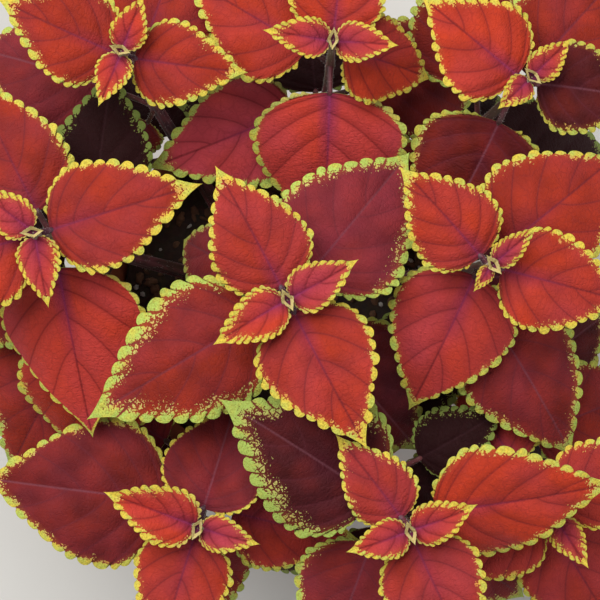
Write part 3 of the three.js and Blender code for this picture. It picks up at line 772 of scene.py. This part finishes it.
def stalk_shell(leaf):
    """The rings of a leaf stalk around the leaf's own line, and a mark for every point. It runs
    from inside the stem to a little way under the blade, thickens where it meets the stem, and has
    a channel on top."""
    small = stalk_share(leaf)
    below = np.linspace(-leaf["stalk"], 0, STALK_RINGS, endpoint=False)
    s = np.concatenate([below, np.linspace(0, 5 * small, 6)])
    radius = PETIOLE_RADIUS * small * (1 + 0.35 * np.exp(-(((s + leaf["stalk"]) / 3) ** 2)))
    radius = radius * np.where(s > 0, np.sqrt(np.maximum(0.02, 1 - s / (5.2 * small))), 1)
    phi = np.linspace(0, 2 * np.pi, STALK_SIDES, endpoint=False)
    groove = 1 - STALK_CHANNEL * np.exp(-(((phi - np.pi / 2) / 0.45) ** 2))
    reach = radius[:, None] * groove
    x, lift = reach * np.cos(phi), reach * np.sin(phi)
    sunk = -1.7 * small * np.clip(s / (2.4 * small), 0, 1)[:, None]
    points = leaf_point(leaf, s[:, None] + 0 * x, x, lift + sunk)
    young = 1 - 0.25 * (leaf["level"] + 1)
    marks = [s[:, None] + 0 * x + 40 * leaf["number"], phi + 0 * x, young + 0 * x]
    return points, np.stack(marks, -1)


def hairs(points, centres, own, count):
    """Fine hairs on a shell of rings: each is a cone of three sides that stands on a random point
    of the shell and leans away from the ring's centre, and a little up."""
    rings, sides = points.shape[:2]
    j, k = own.integers(1, rings - 2, count), own.integers(0, sides, count)
    a = own.random((count, 1))
    foot = points[j, k] * (1 - a) + points[j + 1, k] * a
    away = foot - (centres[j] * (1 - a) + centres[j + 1] * a)
    away = away / np.linalg.norm(away, axis=1, keepdims=True) + own.normal(0, 0.25, (count, 3))
    away = away / np.linalg.norm(away, axis=1, keepdims=True)
    side = np.cross(away, own.normal(0, 1, (count, 3)))
    side = side / np.linalg.norm(side, axis=1, keepdims=True)
    other = np.cross(away, side)
    length = HAIR_LENGTH * own.uniform(0.5, 1.1, (count, 1))
    turn = 2 * np.pi * np.arange(3) / 3
    base = (
        (foot - 0.1 * away)[:, None]
        + HAIR_RADIUS * np.cos(turn)[:, None] * side[:, None]
        + HAIR_RADIUS * np.sin(turn)[:, None] * other[:, None]
    )
    tip = (foot + away * length + np.array([0, 0, 0.15]))[:, None]
    start = 4 * np.arange(count)[:, None, None]
    cone = np.array([[0, 1, 3], [1, 2, 3], [2, 0, 3], [0, 2, 1]])
    return np.concatenate([base, tip], 1).reshape(-1, 3), (cone + start).reshape(-1, 3)


# Living stem: pale green at the tip, flushed with red below in patches 8 mm long, and browner
# where it is old near the mix, with streaks 17 mm long and half a millimetre wide.
stem_stuff, tree = new_material("living coleus stem")
mark = add(tree, "Attribute", attribute_name="stem_place").outputs["Vector"]
split = add(tree, "SeparateXYZ", {"Vector": mark})
streak_place = add(tree, "Mapping", {"Vector": mark, "Scale": (0.06, 2.5, 0.5)})
streak = add(tree, "TexNoise", {"Vector": streak_place, "Scale": 1.0, "Detail": 3.0})
flush_place = add(tree, "Mapping", {"Vector": mark, "Scale": (0.12, 0.4, 0.5)})
flush = add(tree, "TexNoise", {"Vector": flush_place, "Scale": 1.0, "Detail": 2.0})
ripe = add(tree, "MapRange", {0: split.outputs["Z"], 1: 0.05, 2: 0.5})
green = add(tree, "Mix", {"Factor": ripe, "A": "#46301f", "B": "#4c2839"}, data_type="RGBA")
fresh = add(tree, "MapRange", {0: split.outputs["Z"], 1: 0.5, 2: 0.95})
green = add(tree, "Mix", {"Factor": fresh, "A": green, "B": "#a39a76"}, data_type="RGBA")
red = add(tree, "MapRange", {0: flush, 1: 0.45, 2: 0.65, 3: 0.05, 4: 0.6})
colour = add(tree, "Mix", {"Factor": red, "A": green, "B": "#9a4a58"}, data_type="RGBA")
colour = add(
    tree,
    "Mix",
    {"Factor": streak, "A": colour, "B": "#d9d5c0"},
    data_type="RGBA",
    blend_type="MULTIPLY",
)
relief = add(tree, "Bump", {"Height": streak, "Strength": 0.5, "Distance": 0.0003})
skin = add(
    tree,
    "BsdfPrincipled",
    {
        "Base Color": colour,
        "Roughness": 0.5,
        "Normal": relief,
        "IOR": 1.42,
        "Sheen Weight": 0.2,
        "Sheen Roughness": 0.4,
    },
)
add(tree, "OutputMaterial", {"Surface": skin})

# Plant hair: clear and nearly white, brightest where light comes from behind it.
hair_stuff, tree = new_material("clear plant hair")
spot = add(tree, "TexCoord").outputs["Object"]
tint = add(tree, "TexNoise", {"Vector": spot, "Scale": 90.0})
colour = add(tree, "Mix", {"Factor": tint, "A": "#d8cfc0", "B": "#f1efe6"}, data_type="RGBA")
strand = add(tree, "BsdfPrincipled", {"Base Color": colour, "Roughness": 0.35})
add(tree, "OutputMaterial", {"Surface": strand})

for s, (name, foot, top, pairs) in enumerate(STEMS):
    nodes = [top[2] - pair["drop"] for pair in PAIRS[: len(pairs)]]
    shells = [stem_shell(foot, top, pairs[0][0][0], nodes)]
    shells += [stalk_shell(leaf) for leaf in leaves[s]]
    start, points, faces, marks, fur = 0, [], [], [], []
    own = np.random.default_rng(100 + s)
    for number, (shell, mark) in enumerate(shells):
        points.append(shell.reshape(-1, 3))
        marks.append(mark.reshape(-1, 3))
        # the rings of a stalk run the other way round than a stem's, so its faces are turned
        turned = -1 if number else 1
        faces += [part[:, ::turned] + start for part in tube(*shell.shape[:2])]
        start += len(points[-1])
        count = HAIRS_ON_STALK if number else HAIRS_ON_STEM
        fur.append(hairs(shell, shell.mean(1), own, count))
    stem = piece(
        "stem_" + name, np.concatenate(points), faces, stem_stuff, {"stem_place": np.concatenate(marks)}
    )
    tips = np.concatenate([strands for strands, _ in fur])
    counts = np.cumsum([0] + [len(strands) for strands, _ in fur])
    cones = [cone + start for (_, cone), start in zip(fur, counts)]
    fuzz = piece("stem_hairs_" + name, tips, cones, hair_stuff)
    for made in (stem, fuzz):
        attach(made, "root")
        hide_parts("leafy_stem_" + name)

# ---- leaf blades -------------------------------------------------------------------------------
# Living leaf blade: thin and softly quilted between sunken side veins, on a midrib that stands
# out below. The margin is a row of round lobes, yellow to lime, breaking up into dots inwards.

BLADE_MIDDLE = 0.66
BLADE_MARGIN = 0.36
FULL_LENGTH = 70
RIB_DEPTH = 0.9
VEIN_DEPTH = 0.25
QUILT_HEIGHT = 0.9
VEIN_GROOVE = 0.25
RIB_GROOVE = 0.4
LOBE_HEIGHT = 0.35
SHORT_BLADE = 35
LOBES_FROM = 0.012
LOBES_TO = 0.85
LOBE_DEPTH = 0.034
DEEPEST_LOBE = 2.1
NOTCH_REACH = 0.05
BASE_ROWS = 3
LOBE_ROWS, BUD_LOBE_ROWS = 6, 4
POINT_ROWS, BUD_POINT_ROWS = 12, 5
COLUMNS = [0, 0.045, 0.12, 0.22, 0.34, 0.47, 0.6, 0.72, 0.82, 0.9, 0.96, 1]
BUD_COLUMNS = [0, 0.15, 0.4, 0.65, 0.88, 1]


def blade_shell(leaf):
    """A blade as one closed shell. Rows start on the midrib and curve forward to the margin as
    the side veins do; columns run from the right margin over the midrib to the left one. The
    margin is the leaf's outline, moved out over each lobe by a rounded sine and drawn in between
    lobes; the offset dies away inwards. The upper face sinks at the midrib and at every side vein
    by a bell curve and rises between them. The lower face follows it at the blade's thickness,
    with the midrib standing out as a ridge."""
    length, number = leaf["length"], leaf["number"]
    bud = leaf["level"] < 0
    rows_each = BUD_LOBE_ROWS if bud else LOBE_ROWS
    point_rows = BUD_POINT_ROWS if bud else POINT_ROWS
    v = np.array(BUD_COLUMNS if bud else COLUMNS)
    own = np.random.default_rng(1000 + number)

    # the plain outline by distance along it
    u = np.linspace(0, 1, 800) ** 1.3
    width = half_width(leaf, u)
    width = np.hypot(width, PETIOLE_RADIUS * stalk_share(leaf) * (1 - u))
    along = np.concatenate([[0], np.cumsum(np.hypot(np.diff(u * length), np.diff(width)))])
    first, last = np.interp([LOBES_FROM, LOBES_TO], u, along)
    lobes = int(max(4, round((last - first) / (0.9 + 0.065 * length))))

    # where the rows meet the margin on either side, and how far each is into its lobe. Lobes grow
    # longer away from the base, each a little by its own draw, with plain rows before and after.
    sides = []
    for _ in range(2):
        cuts = first + (last - first) * (np.arange(lobes + 1) / lobes) ** 1.2
        cuts[1:-1] += own.uniform(-0.2, 0.2, lobes - 1) * (last - first) / lobes
        p = np.arange(rows_each) / rows_each
        t = np.concatenate(
            [
                np.linspace(0, first, BASE_ROWS, endpoint=False),
                (cuts[:-1, None] + np.diff(cuts)[:, None] * p).ravel(),
                last + (along[-1] - last) * np.linspace(0, 0.985, point_rows),
            ]
        )
        phase = np.pad(np.tile(p, lobes), (BASE_ROWS, point_rows))
        swell = np.repeat(own.uniform(0.65, 1.25, lobes), rows_each)
        swell = np.pad(swell, (BASE_ROWS, point_rows))
        s, x = np.interp(t, along, u * length), np.interp(t, along, width)
        ds, dx = np.gradient(s), np.gradient(x)
        size = np.hypot(ds, dx)
        round_off = np.sin(np.pi * phase**0.85) ** 0.55
        depth = min(LOBE_DEPTH * length, DEEPEST_LOBE)
        out = swell * depth * round_off - 0.35 * depth * (swell > 0)
        ahead = 0.16 * depth * swell * round_off
        sides.append((s, x, -dx / size, ds / size, out, ahead, round_off))
    rows = len(sides[0][0])
    mean = (sides[0][0] + sides[1][0]) / 2 / length
    rib = length * mean**2.6

    # the flat place of every grid point, how far it lies in from the plain outline, and how far
    # it is moved out with a lobe
    flat_s, flat_x, edge, lobe = [], [], [], []
    for hand, (*side, round_off) in zip((-1, 1), sides):
        s, x, away_s, away_x, out, ahead = (values[:, None] for values in side)
        w = v if hand > 0 else v[:0:-1]
        fade = np.clip((w - 0.78) / 0.22, 0, 1) ** 1.4
        from_rib = rib[:, None] + (s - rib[:, None]) * (0.35 * w + 0.65 * w * w)
        put_s = from_rib + (away_s * out + away_x * ahead) * fade
        put_x = x * w + (away_x * out - away_s * ahead) * fade
        flat_s.append(put_s)
        flat_x.append(hand * put_x)
        edge.append((s - put_s) * away_s + (x - put_x) * away_x)
        lobe.append(round_off[:, None] * fade)
    s, x = np.concatenate(flat_s, 1), np.concatenate(flat_x, 1)
    edge, lobe = np.concatenate(edge, 1), np.concatenate(lobe, 1)
    across = np.concatenate([v[:0:-1], v]) + 0 * s

    # distance across the rows to the nearest side vein, and to the nearest of the short lines that
    # run in from the notches
    veins = 4 if length < SHORT_BLADE else 6
    apart = 2 * max(1, round(rows * 0.9 / (2 * veins)))
    number_of_row = np.arange(rows)[:, None]
    row = number_of_row - np.where(x < 0, 0, round(0.3 * apart))
    nearest = np.clip(np.round((row - apart // 2) / apart), 0, veins - 1) * apart + apart // 2
    step = np.stack([np.gradient(s, axis=0), np.gradient(x, axis=0)], -1)
    run = np.stack([np.gradient(s, axis=1), np.gradient(x, axis=1)], -1)
    spacing = np.abs(step[..., 0] * run[..., 1] - step[..., 1] * run[..., 0])
    spacing = spacing / np.maximum(1e-6, np.hypot(run[..., 0], run[..., 1]))
    vein = np.abs(row - nearest) * spacing
    cut = np.clip(np.round((number_of_row - BASE_ROWS) / rows_each), 0, lobes) * rows_each + BASE_ROWS
    notch = np.abs(number_of_row - cut) * spacing
    notch = np.hypot(notch, np.maximum(0, edge - NOTCH_REACH * length))

    # relief of the upper face, lower on a small blade: raised between the veins and in the lobes,
    # sunk along the side veins and the midrib; then the ridges of both on the lower face
    big = length / FULL_LENGTH
    pillow = vein**2 / (vein**2 + (2.6 * big) ** 2) * x**2 / (x**2 + (2.2 * big) ** 2)
    calm = np.clip((1 - across) / 0.25, 0, 1) * np.clip((length - s) / (0.2 * length), 0, 1)
    relief = QUILT_HEIGHT * big * pillow * calm
    relief -= VEIN_GROOVE * big**0.5 * np.exp(-((vein / 0.6) ** 2)) * calm * (1 - 0.6 * across)
    relief -= RIB_GROOVE * min(1, big**0.5) * np.exp(-((x / 0.9) ** 2)) * (1 - s / length)
    relief += LOBE_HEIGHT * big * lobe * np.clip(1 - np.abs(across - 0.93) / 0.1, 0, 1)
    half = (BLADE_MIDDLE + (BLADE_MARGIN - BLADE_MIDDLE) * across**2) / 2 * (0.7 if bud else 1)
    ridge = RIB_DEPTH * min(1, big) * np.clip(1 - s / length, 0, 1) ** 1.3 * np.exp(-((x / 1.0) ** 2))
    vein_ridge = VEIN_DEPTH * big * np.exp(-((vein / 0.7) ** 2)) * calm
    upper = leaf_point(leaf, s, x, relief + half)
    lower = leaf_point(leaf, s, x, relief - half - ridge - vein_ridge)

    # faces: both sides, and the rim around them
    columns = s.shape[1]
    count = rows * columns
    number_of = np.arange(count).reshape(rows, columns)
    loop = np.concatenate(
        [number_of[:-1, 0], number_of[-1, :-1], number_of[:0:-1, -1], number_of[0, :0:-1]]
    )
    after = np.roll(loop, -1)
    band = np.stack([loop, loop + count, after + count, after], 1)
    faces = [grid(rows, columns)[:, ::-1], grid(rows, columns, count), band]
    rims = np.zeros(2 * count, int)
    rims[loop], rims[loop + count] = 1, 2

    # what the material reads at every point: its place on the leaf, the distances to the margin,
    # side vein and notch, the leaf's tones, and its face (1 is the lower one) with the margin's width
    place = np.stack([s + 97.0 * number, x, s / length], -1)
    marks = dict(
        leaf_place=place,
        leaf_lines=np.stack([edge, vein, notch], -1),
        leaf_tone=0 * place + [leaf["age"], leaf["lime"], leaf["mauve"]],
        leaf_kind=0 * place + [0, leaf["margin"], 0],
    )
    marks = {mark: np.tile(values.reshape(-1, 3), (2, 1)) for mark, values in marks.items()}
    marks["leaf_kind"][count:, 0] = 1
    return np.concatenate([upper.reshape(-1, 3), lower.reshape(-1, 3)]), faces, marks, rims


# Living leaf: a soft satin skin with a thin bloom of hairs. Red pigment lies over green, denser
# along the veins and missing at the margin, where yellow to lime tissue shows.
leaf_stuff, tree = new_material("living coleus blade")
read = [
    add(tree, "Attribute", attribute_name=name).outputs["Vector"]
    for name in ("leaf_place", "leaf_lines", "leaf_tone", "leaf_kind")
]
place = read[0]
(_, aside, along), (edge, vein, notch), (age, lime, mauve), (under, wide, _) = [
    add(tree, "SeparateXYZ", {"Vector": values}).outputs for values in read
]
rib = add(tree, "Math", {0: aside}, operation="ABSOLUTE")

# patterns in leaf millimetres: patches of 12 mm, clouds of 4 mm and dots of 0.7 mm
patch = add(tree, "TexNoise", {"Vector": place, "Scale": 0.085, "Detail": 1.0})
cloud = add(tree, "TexNoise", {"Vector": place, "Scale": 0.26, "Detail": 2.0})
dots = add(tree, "TexNoise", {"Vector": place, "Scale": 1.5, "Detail": 1.5, "Roughness": 0.6})

# two nets of small veins, their lines about 2 mm and about 5 mm apart
warp = add(tree, "TexNoise", {"Vector": place, "Scale": 0.5, "Detail": 1.0})
bent = add(tree, "VectorMath", {0: warp.outputs["Color"], 1: (2.2, 2.2, 0.0)}, operation="MULTIPLY")
bent = add(tree, "VectorMath", {0: place, 1: bent}, operation="ADD")
flat = dict(feature="DISTANCE_TO_EDGE", voronoi_dimensions="2D")
net = add(tree, "TexVoronoi", {"Vector": bent, "Scale": 0.45}, **flat)
coarse = add(tree, "TexVoronoi", {"Vector": bent, "Scale": 0.19}, **flat)
mesh_line = add(tree, "MapRange", {0: net, 1: 0.0, 2: 0.15, 3: 1.0, 4: 0.0})

# the pale margin: its width wanders by patches. It is whole on the lobes and thins out inwards
# into dots; red threads cut it at every notch and along the net of small veins.
wander = add(tree, "MapRange", {0: patch, 1: 0.3, 2: 0.7, 3: 0.6, 4: 1.4})
wide = add(tree, "Math", {0: wide, 1: wander}, operation="MULTIPLY")
point = add(tree, "MapRange", {0: along, 1: 0.78, 2: 0.94, 3: 0.0, 4: 0.75})
wide = add(tree, "Math", {0: wide, 1: point, 2: wide}, operation="MULTIPLY_ADD")
depth = add(tree, "Math", {0: edge, 1: wide}, operation="DIVIDE")
needed = add(tree, "MapRange", {0: depth, 1: 0.8, 2: 1.6}, clamp=False)
even = add(tree, "MapRange", {0: dots, 1: 0.4, 2: 0.6}, clamp=False)
bud = add(tree, "MapRange", {0: age, 1: -0.5, 2: -0.3, 3: 1.0, 4: 0.0})
inside = add(tree, "Math", {0: even, 1: needed}, operation="SUBTRACT")
whole = add(tree, "MapRange", {0: depth, 1: 0.0, 2: 1.1, 3: 0.8, 4: 0.0})
inside = add(tree, "Math", {0: inside, 1: whole}, operation="ADD")
line = add(tree, "MapRange", {0: notch, 1: 0.12, 2: 0.5, 3: 2.4, 4: 0.0})
inside = add(tree, "Math", {0: inside, 1: line}, operation="SUBTRACT")
cut = add(tree, "MapRange", {0: edge, 1: -0.3, 2: 1.2})
cell = add(tree, "MapRange", {0: net, 1: 0.02, 2: 0.22, 3: -0.9, 4: 0.65})
channel = add(tree, "MapRange", {0: notch, 1: 0.3, 2: 1.9, 3: 1.1, 4: 0.0})
cell = add(tree, "Math", {0: cell, 1: channel}, operation="SUBTRACT")
cell = add(tree, "Math", {0: cut, 1: cell}, operation="MULTIPLY")
inside = add(tree, "Math", {0: inside, 1: cell}, operation="ADD")
plain = add(tree, "MapRange", {0: depth, 1: 0.95, 2: 1.3, 3: 0.5, 4: -0.5})
crisp = add(tree, "MapRange", {0: age, 1: 0.05, 2: 0.3, 3: 0.55, 4: 0.0})
crisp = add(tree, "Math", {0: crisp, 1: bud}, operation="MAXIMUM")
inside = add(tree, "Mix", {"Factor": crisp, "A": inside, "B": plain})
pale = add(tree, "MapRange", {0: inside, 1: -0.12, 2: 0.16})

limeness = add(tree, "MapRange", {0: cloud, 1: 0.3, 2: 0.7, 3: -0.5, 4: 0.5})
limeness = add(tree, "Math", {0: limeness, 1: lime}, operation="ADD", use_clamp=True)
margin = add(tree, "Mix", {"Factor": limeness, "A": "#e0c548", "B": "#b6cb60"}, data_type="RGBA")
amber = add(tree, "MapRange", {0: depth, 1: 0.6, 2: 1.5, 3: 0.0, 4: 0.9})
inner = add(tree, "Mix", {"Factor": limeness, "A": "#d98a48", "B": "#cdb96c"}, data_type="RGBA")
margin = add(tree, "Mix", {"Factor": amber, "A": margin, "B": inner}, data_type="RGBA")
fleck = add(tree, "MapRange", {0: even, 1: -0.2, 2: 0.8, 3: 0.45, 4: 0.0})
margin = add(tree, "Mix", {"Factor": fleck, "A": margin, "B": "#8f7c2c"}, data_type="RGBA")
# painted shade in the notches between the lobes: the margin darkens to brown there
notch_shade = add(tree, "MapRange", {0: notch, 1: 0.15, 2: 0.9, 3: 0.5, 4: 0.0})
margin = add(tree, "Mix", {"Factor": notch_shade, "A": margin, "B": "#86641f"}, data_type="RGBA")

# the margin is cream on a bud and at the base of the youngest leaves, and painted shade turns it
# dull green on the deepest, oldest leaves
root = add(tree, "MapRange", {0: along, 1: 0.03, 2: 0.22, 3: 0.35, 4: 0.0})
cream = add(tree, "MapRange", {0: age, 1: 0.05, 2: 0.25, 3: 1.0, 4: 0.0})
cream = add(tree, "Math", {0: root, 1: cream}, operation="MULTIPLY")
cream = add(tree, "Math", {0: cream, 1: bud}, operation="MAXIMUM")
margin = add(tree, "Mix", {"Factor": cream, "A": margin, "B": "#ccb97a"}, data_type="RGBA")
# painted shade on the deepest leaves, standing in for the darkness under a dense canopy
deep_shade = add(tree, "MapRange", {0: age, 1: 0.85, 2: 1.15, 3: 0.0, 4: 0.85})
margin = add(tree, "Mix", {"Factor": deep_shade, "A": margin, "B": "#7d8f45"}, data_type="RGBA")

# the red body: scarlet or rose when young, maroon or plum when old, in drifts of 12 to 20 mm
tinge = add(tree, "TexNoise", {"Vector": place, "Scale": 0.05, "Detail": 1.0})
tinge = add(tree, "MapRange", {0: tinge, 1: 0.3, 2: 0.7, 3: -0.3, 4: 0.3})
mauve = add(tree, "Math", {0: tinge, 1: mauve}, operation="ADD", use_clamp=True)
young = add(tree, "Mix", {"Factor": mauve, "A": "#ca3e22", "B": "#b84049"}, data_type="RGBA")
old = add(tree, "Mix", {"Factor": mauve, "A": "#4c0f0e", "B": "#5c1b26"}, data_type="RGBA")
drift = add(tree, "MapRange", {0: patch, 1: 0.3, 2: 0.7, 3: -0.12, 4: 0.12})
drift = add(tree, "Math", {0: drift, 1: age}, operation="ADD", use_clamp=True)
body = add(tree, "Mix", {"Factor": drift, "A": young, "B": old}, data_type="RGBA")
haze = add(tree, "MapRange", {0: depth, 1: 1.0, 2: 2.2, 3: 0.3, 4: 0.0})
body = add(tree, "Mix", {"Factor": haze, "A": body, "B": "#b4602c"}, data_type="RGBA")

# violet at the base of a young blade, along its midrib
base = add(tree, "MapRange", {0: along, 1: 0.0, 2: 0.55, 3: 1.0, 4: 0.0})
beside = add(tree, "MapRange", {0: rib, 1: 0.3, 2: 5.0, 3: 1.0, 4: 0.0})
violet = add(tree, "Math", {0: base, 1: beside}, operation="MULTIPLY")
fresh = add(tree, "MapRange", {0: age, 1: 0.0, 2: 0.7, 3: 0.9, 4: 0.15})
violet = add(tree, "Math", {0: violet, 1: fresh}, operation="MULTIPLY")
body = add(tree, "Mix", {"Factor": violet, "A": body, "B": "#7a2652"}, data_type="RGBA")
body = add(tree, "Mix", {"Factor": bud, "A": body, "B": "#4a1f4e"}, data_type="RGBA")

# veins: dark red threads, violet where the blade is, with soft painted shade beside them, and the net
thread = add(tree, "MapRange", {0: vein, 1: 0.1, 2: 0.75, 3: 0.56, 4: 0.0})
mid_thread = add(tree, "MapRange", {0: rib, 1: 0.1, 2: 0.7, 3: 0.65, 4: 0.0})
# painted shade along the sunken side veins, fading out over 3.2 mm
painted_vein_shade = add(tree, "MapRange", {0: vein, 1: 0.0, 2: 3.2, 3: 0.24, 4: 0.0})
thread = add(tree, "Math", {0: thread, 1: painted_vein_shade}, operation="MAXIMUM")
faint = add(tree, "Math", {0: mesh_line, 1: 0.12}, operation="MULTIPLY")
thread = add(tree, "Math", {0: thread, 1: faint}, operation="MAXIMUM")
branch = add(tree, "MapRange", {0: coarse, 1: 0.01, 2: 0.11, 3: 0.2, 4: 0.0})
thread = add(tree, "Math", {0: thread, 1: branch}, operation="MAXIMUM")
dark = add(tree, "Mix", {"Factor": age, "A": "#5c1016", "B": "#6a2a34"}, data_type="RGBA")
body = add(tree, "Mix", {"Factor": thread, "A": body, "B": dark}, data_type="RGBA")
tint = add(tree, "Math", {0: base, 1: fresh}, operation="MULTIPLY")
dark = add(tree, "Mix", {"Factor": tint, "A": dark, "B": "#a03a6c"}, data_type="RGBA")
aged = add(tree, "MapRange", {0: age, 1: 0.55, 2: 0.8, 3: 0.0, 4: 0.36})
dark = add(tree, "Mix", {"Factor": aged, "A": dark, "B": "#9c6570"}, data_type="RGBA")
body = add(tree, "Mix", {"Factor": mid_thread, "A": body, "B": dark}, data_type="RGBA")
thread = add(tree, "Math", {0: thread, 1: mid_thread}, operation="MAXIMUM")
# painted shade: the red of the deepest leaves darkens nearly to black
body = add(tree, "Mix", {"Factor": deep_shade, "A": body, "B": "#1c0a08"}, data_type="RGBA")
over = add(tree, "Mix", {"Factor": pale, "A": body, "B": margin}, data_type="RGBA")

# the underside: duller and greyer, with paler veins
below = add(tree, "Mix", {"Factor": thread, "A": "#7c3440", "B": "#a8626a"}, data_type="RGBA")
below = add(tree, "Mix", {"Factor": pale, "A": below, "B": "#a9b560"}, data_type="RGBA")
colour = add(tree, "Mix", {"Factor": under, "A": over, "B": below}, data_type="RGBA")

# relief: creases that run out from the midrib, the net, and fine cells of 0.3 mm
grain = add(tree, "TexNoise", {"Vector": place, "Scale": 3.2, "Detail": 2.0})
drawn = add(tree, "Mapping", {"Vector": place, "Scale": (1.2, 0.5, 1.0)})
crease = add(tree, "TexNoise", {"Vector": drawn, "Scale": 1.0, "Detail": 2.0})
sunken = add(tree, "Math", {0: mesh_line, 1: -0.35, 2: grain}, operation="MULTIPLY_ADD")
height = add(tree, "Math", {0: crease, 1: 1.3, 2: sunken}, operation="MULTIPLY_ADD")
relief = add(tree, "Bump", {"Height": height, "Strength": 0.75, "Distance": 0.0004})
shine = add(tree, "MapRange", {0: cloud, 1: 0.3, 2: 0.7, 3: 0.5, 4: 0.64})
skin = add(
    tree,
    "BsdfPrincipled",
    {
        "Base Color": colour,
        "Roughness": shine,
        "Normal": relief,
        "IOR": 1.42,
        "Specular IOR Level": 0.15,
        "Sheen Weight": 0.05,
        "Sheen Roughness": 0.5,
        "Sheen Tint": "#e6c4cc",
    },
)
add(tree, "OutputMaterial", {"Surface": skin})

for s, (name, *_) in enumerate(STEMS):
    start, points, faces, marks, rims = 0, [], [], [], []
    for leaf in leaves[s]:
        shell, parts, mark, rim = blade_shell(leaf)
        points.append(shell)
        faces += [part + start for part in parts]
        marks.append(mark)
        rims.append(rim)
        start += len(shell)
    blades = piece(
        "blades_" + name,
        np.concatenate(points),
        faces,
        leaf_stuff,
        {key: np.concatenate([mark[key] for mark in marks]) for key in marks[0]},
        np.concatenate(rims),
    )
    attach(blades, "root")
    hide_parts("leafy_stem_" + name)
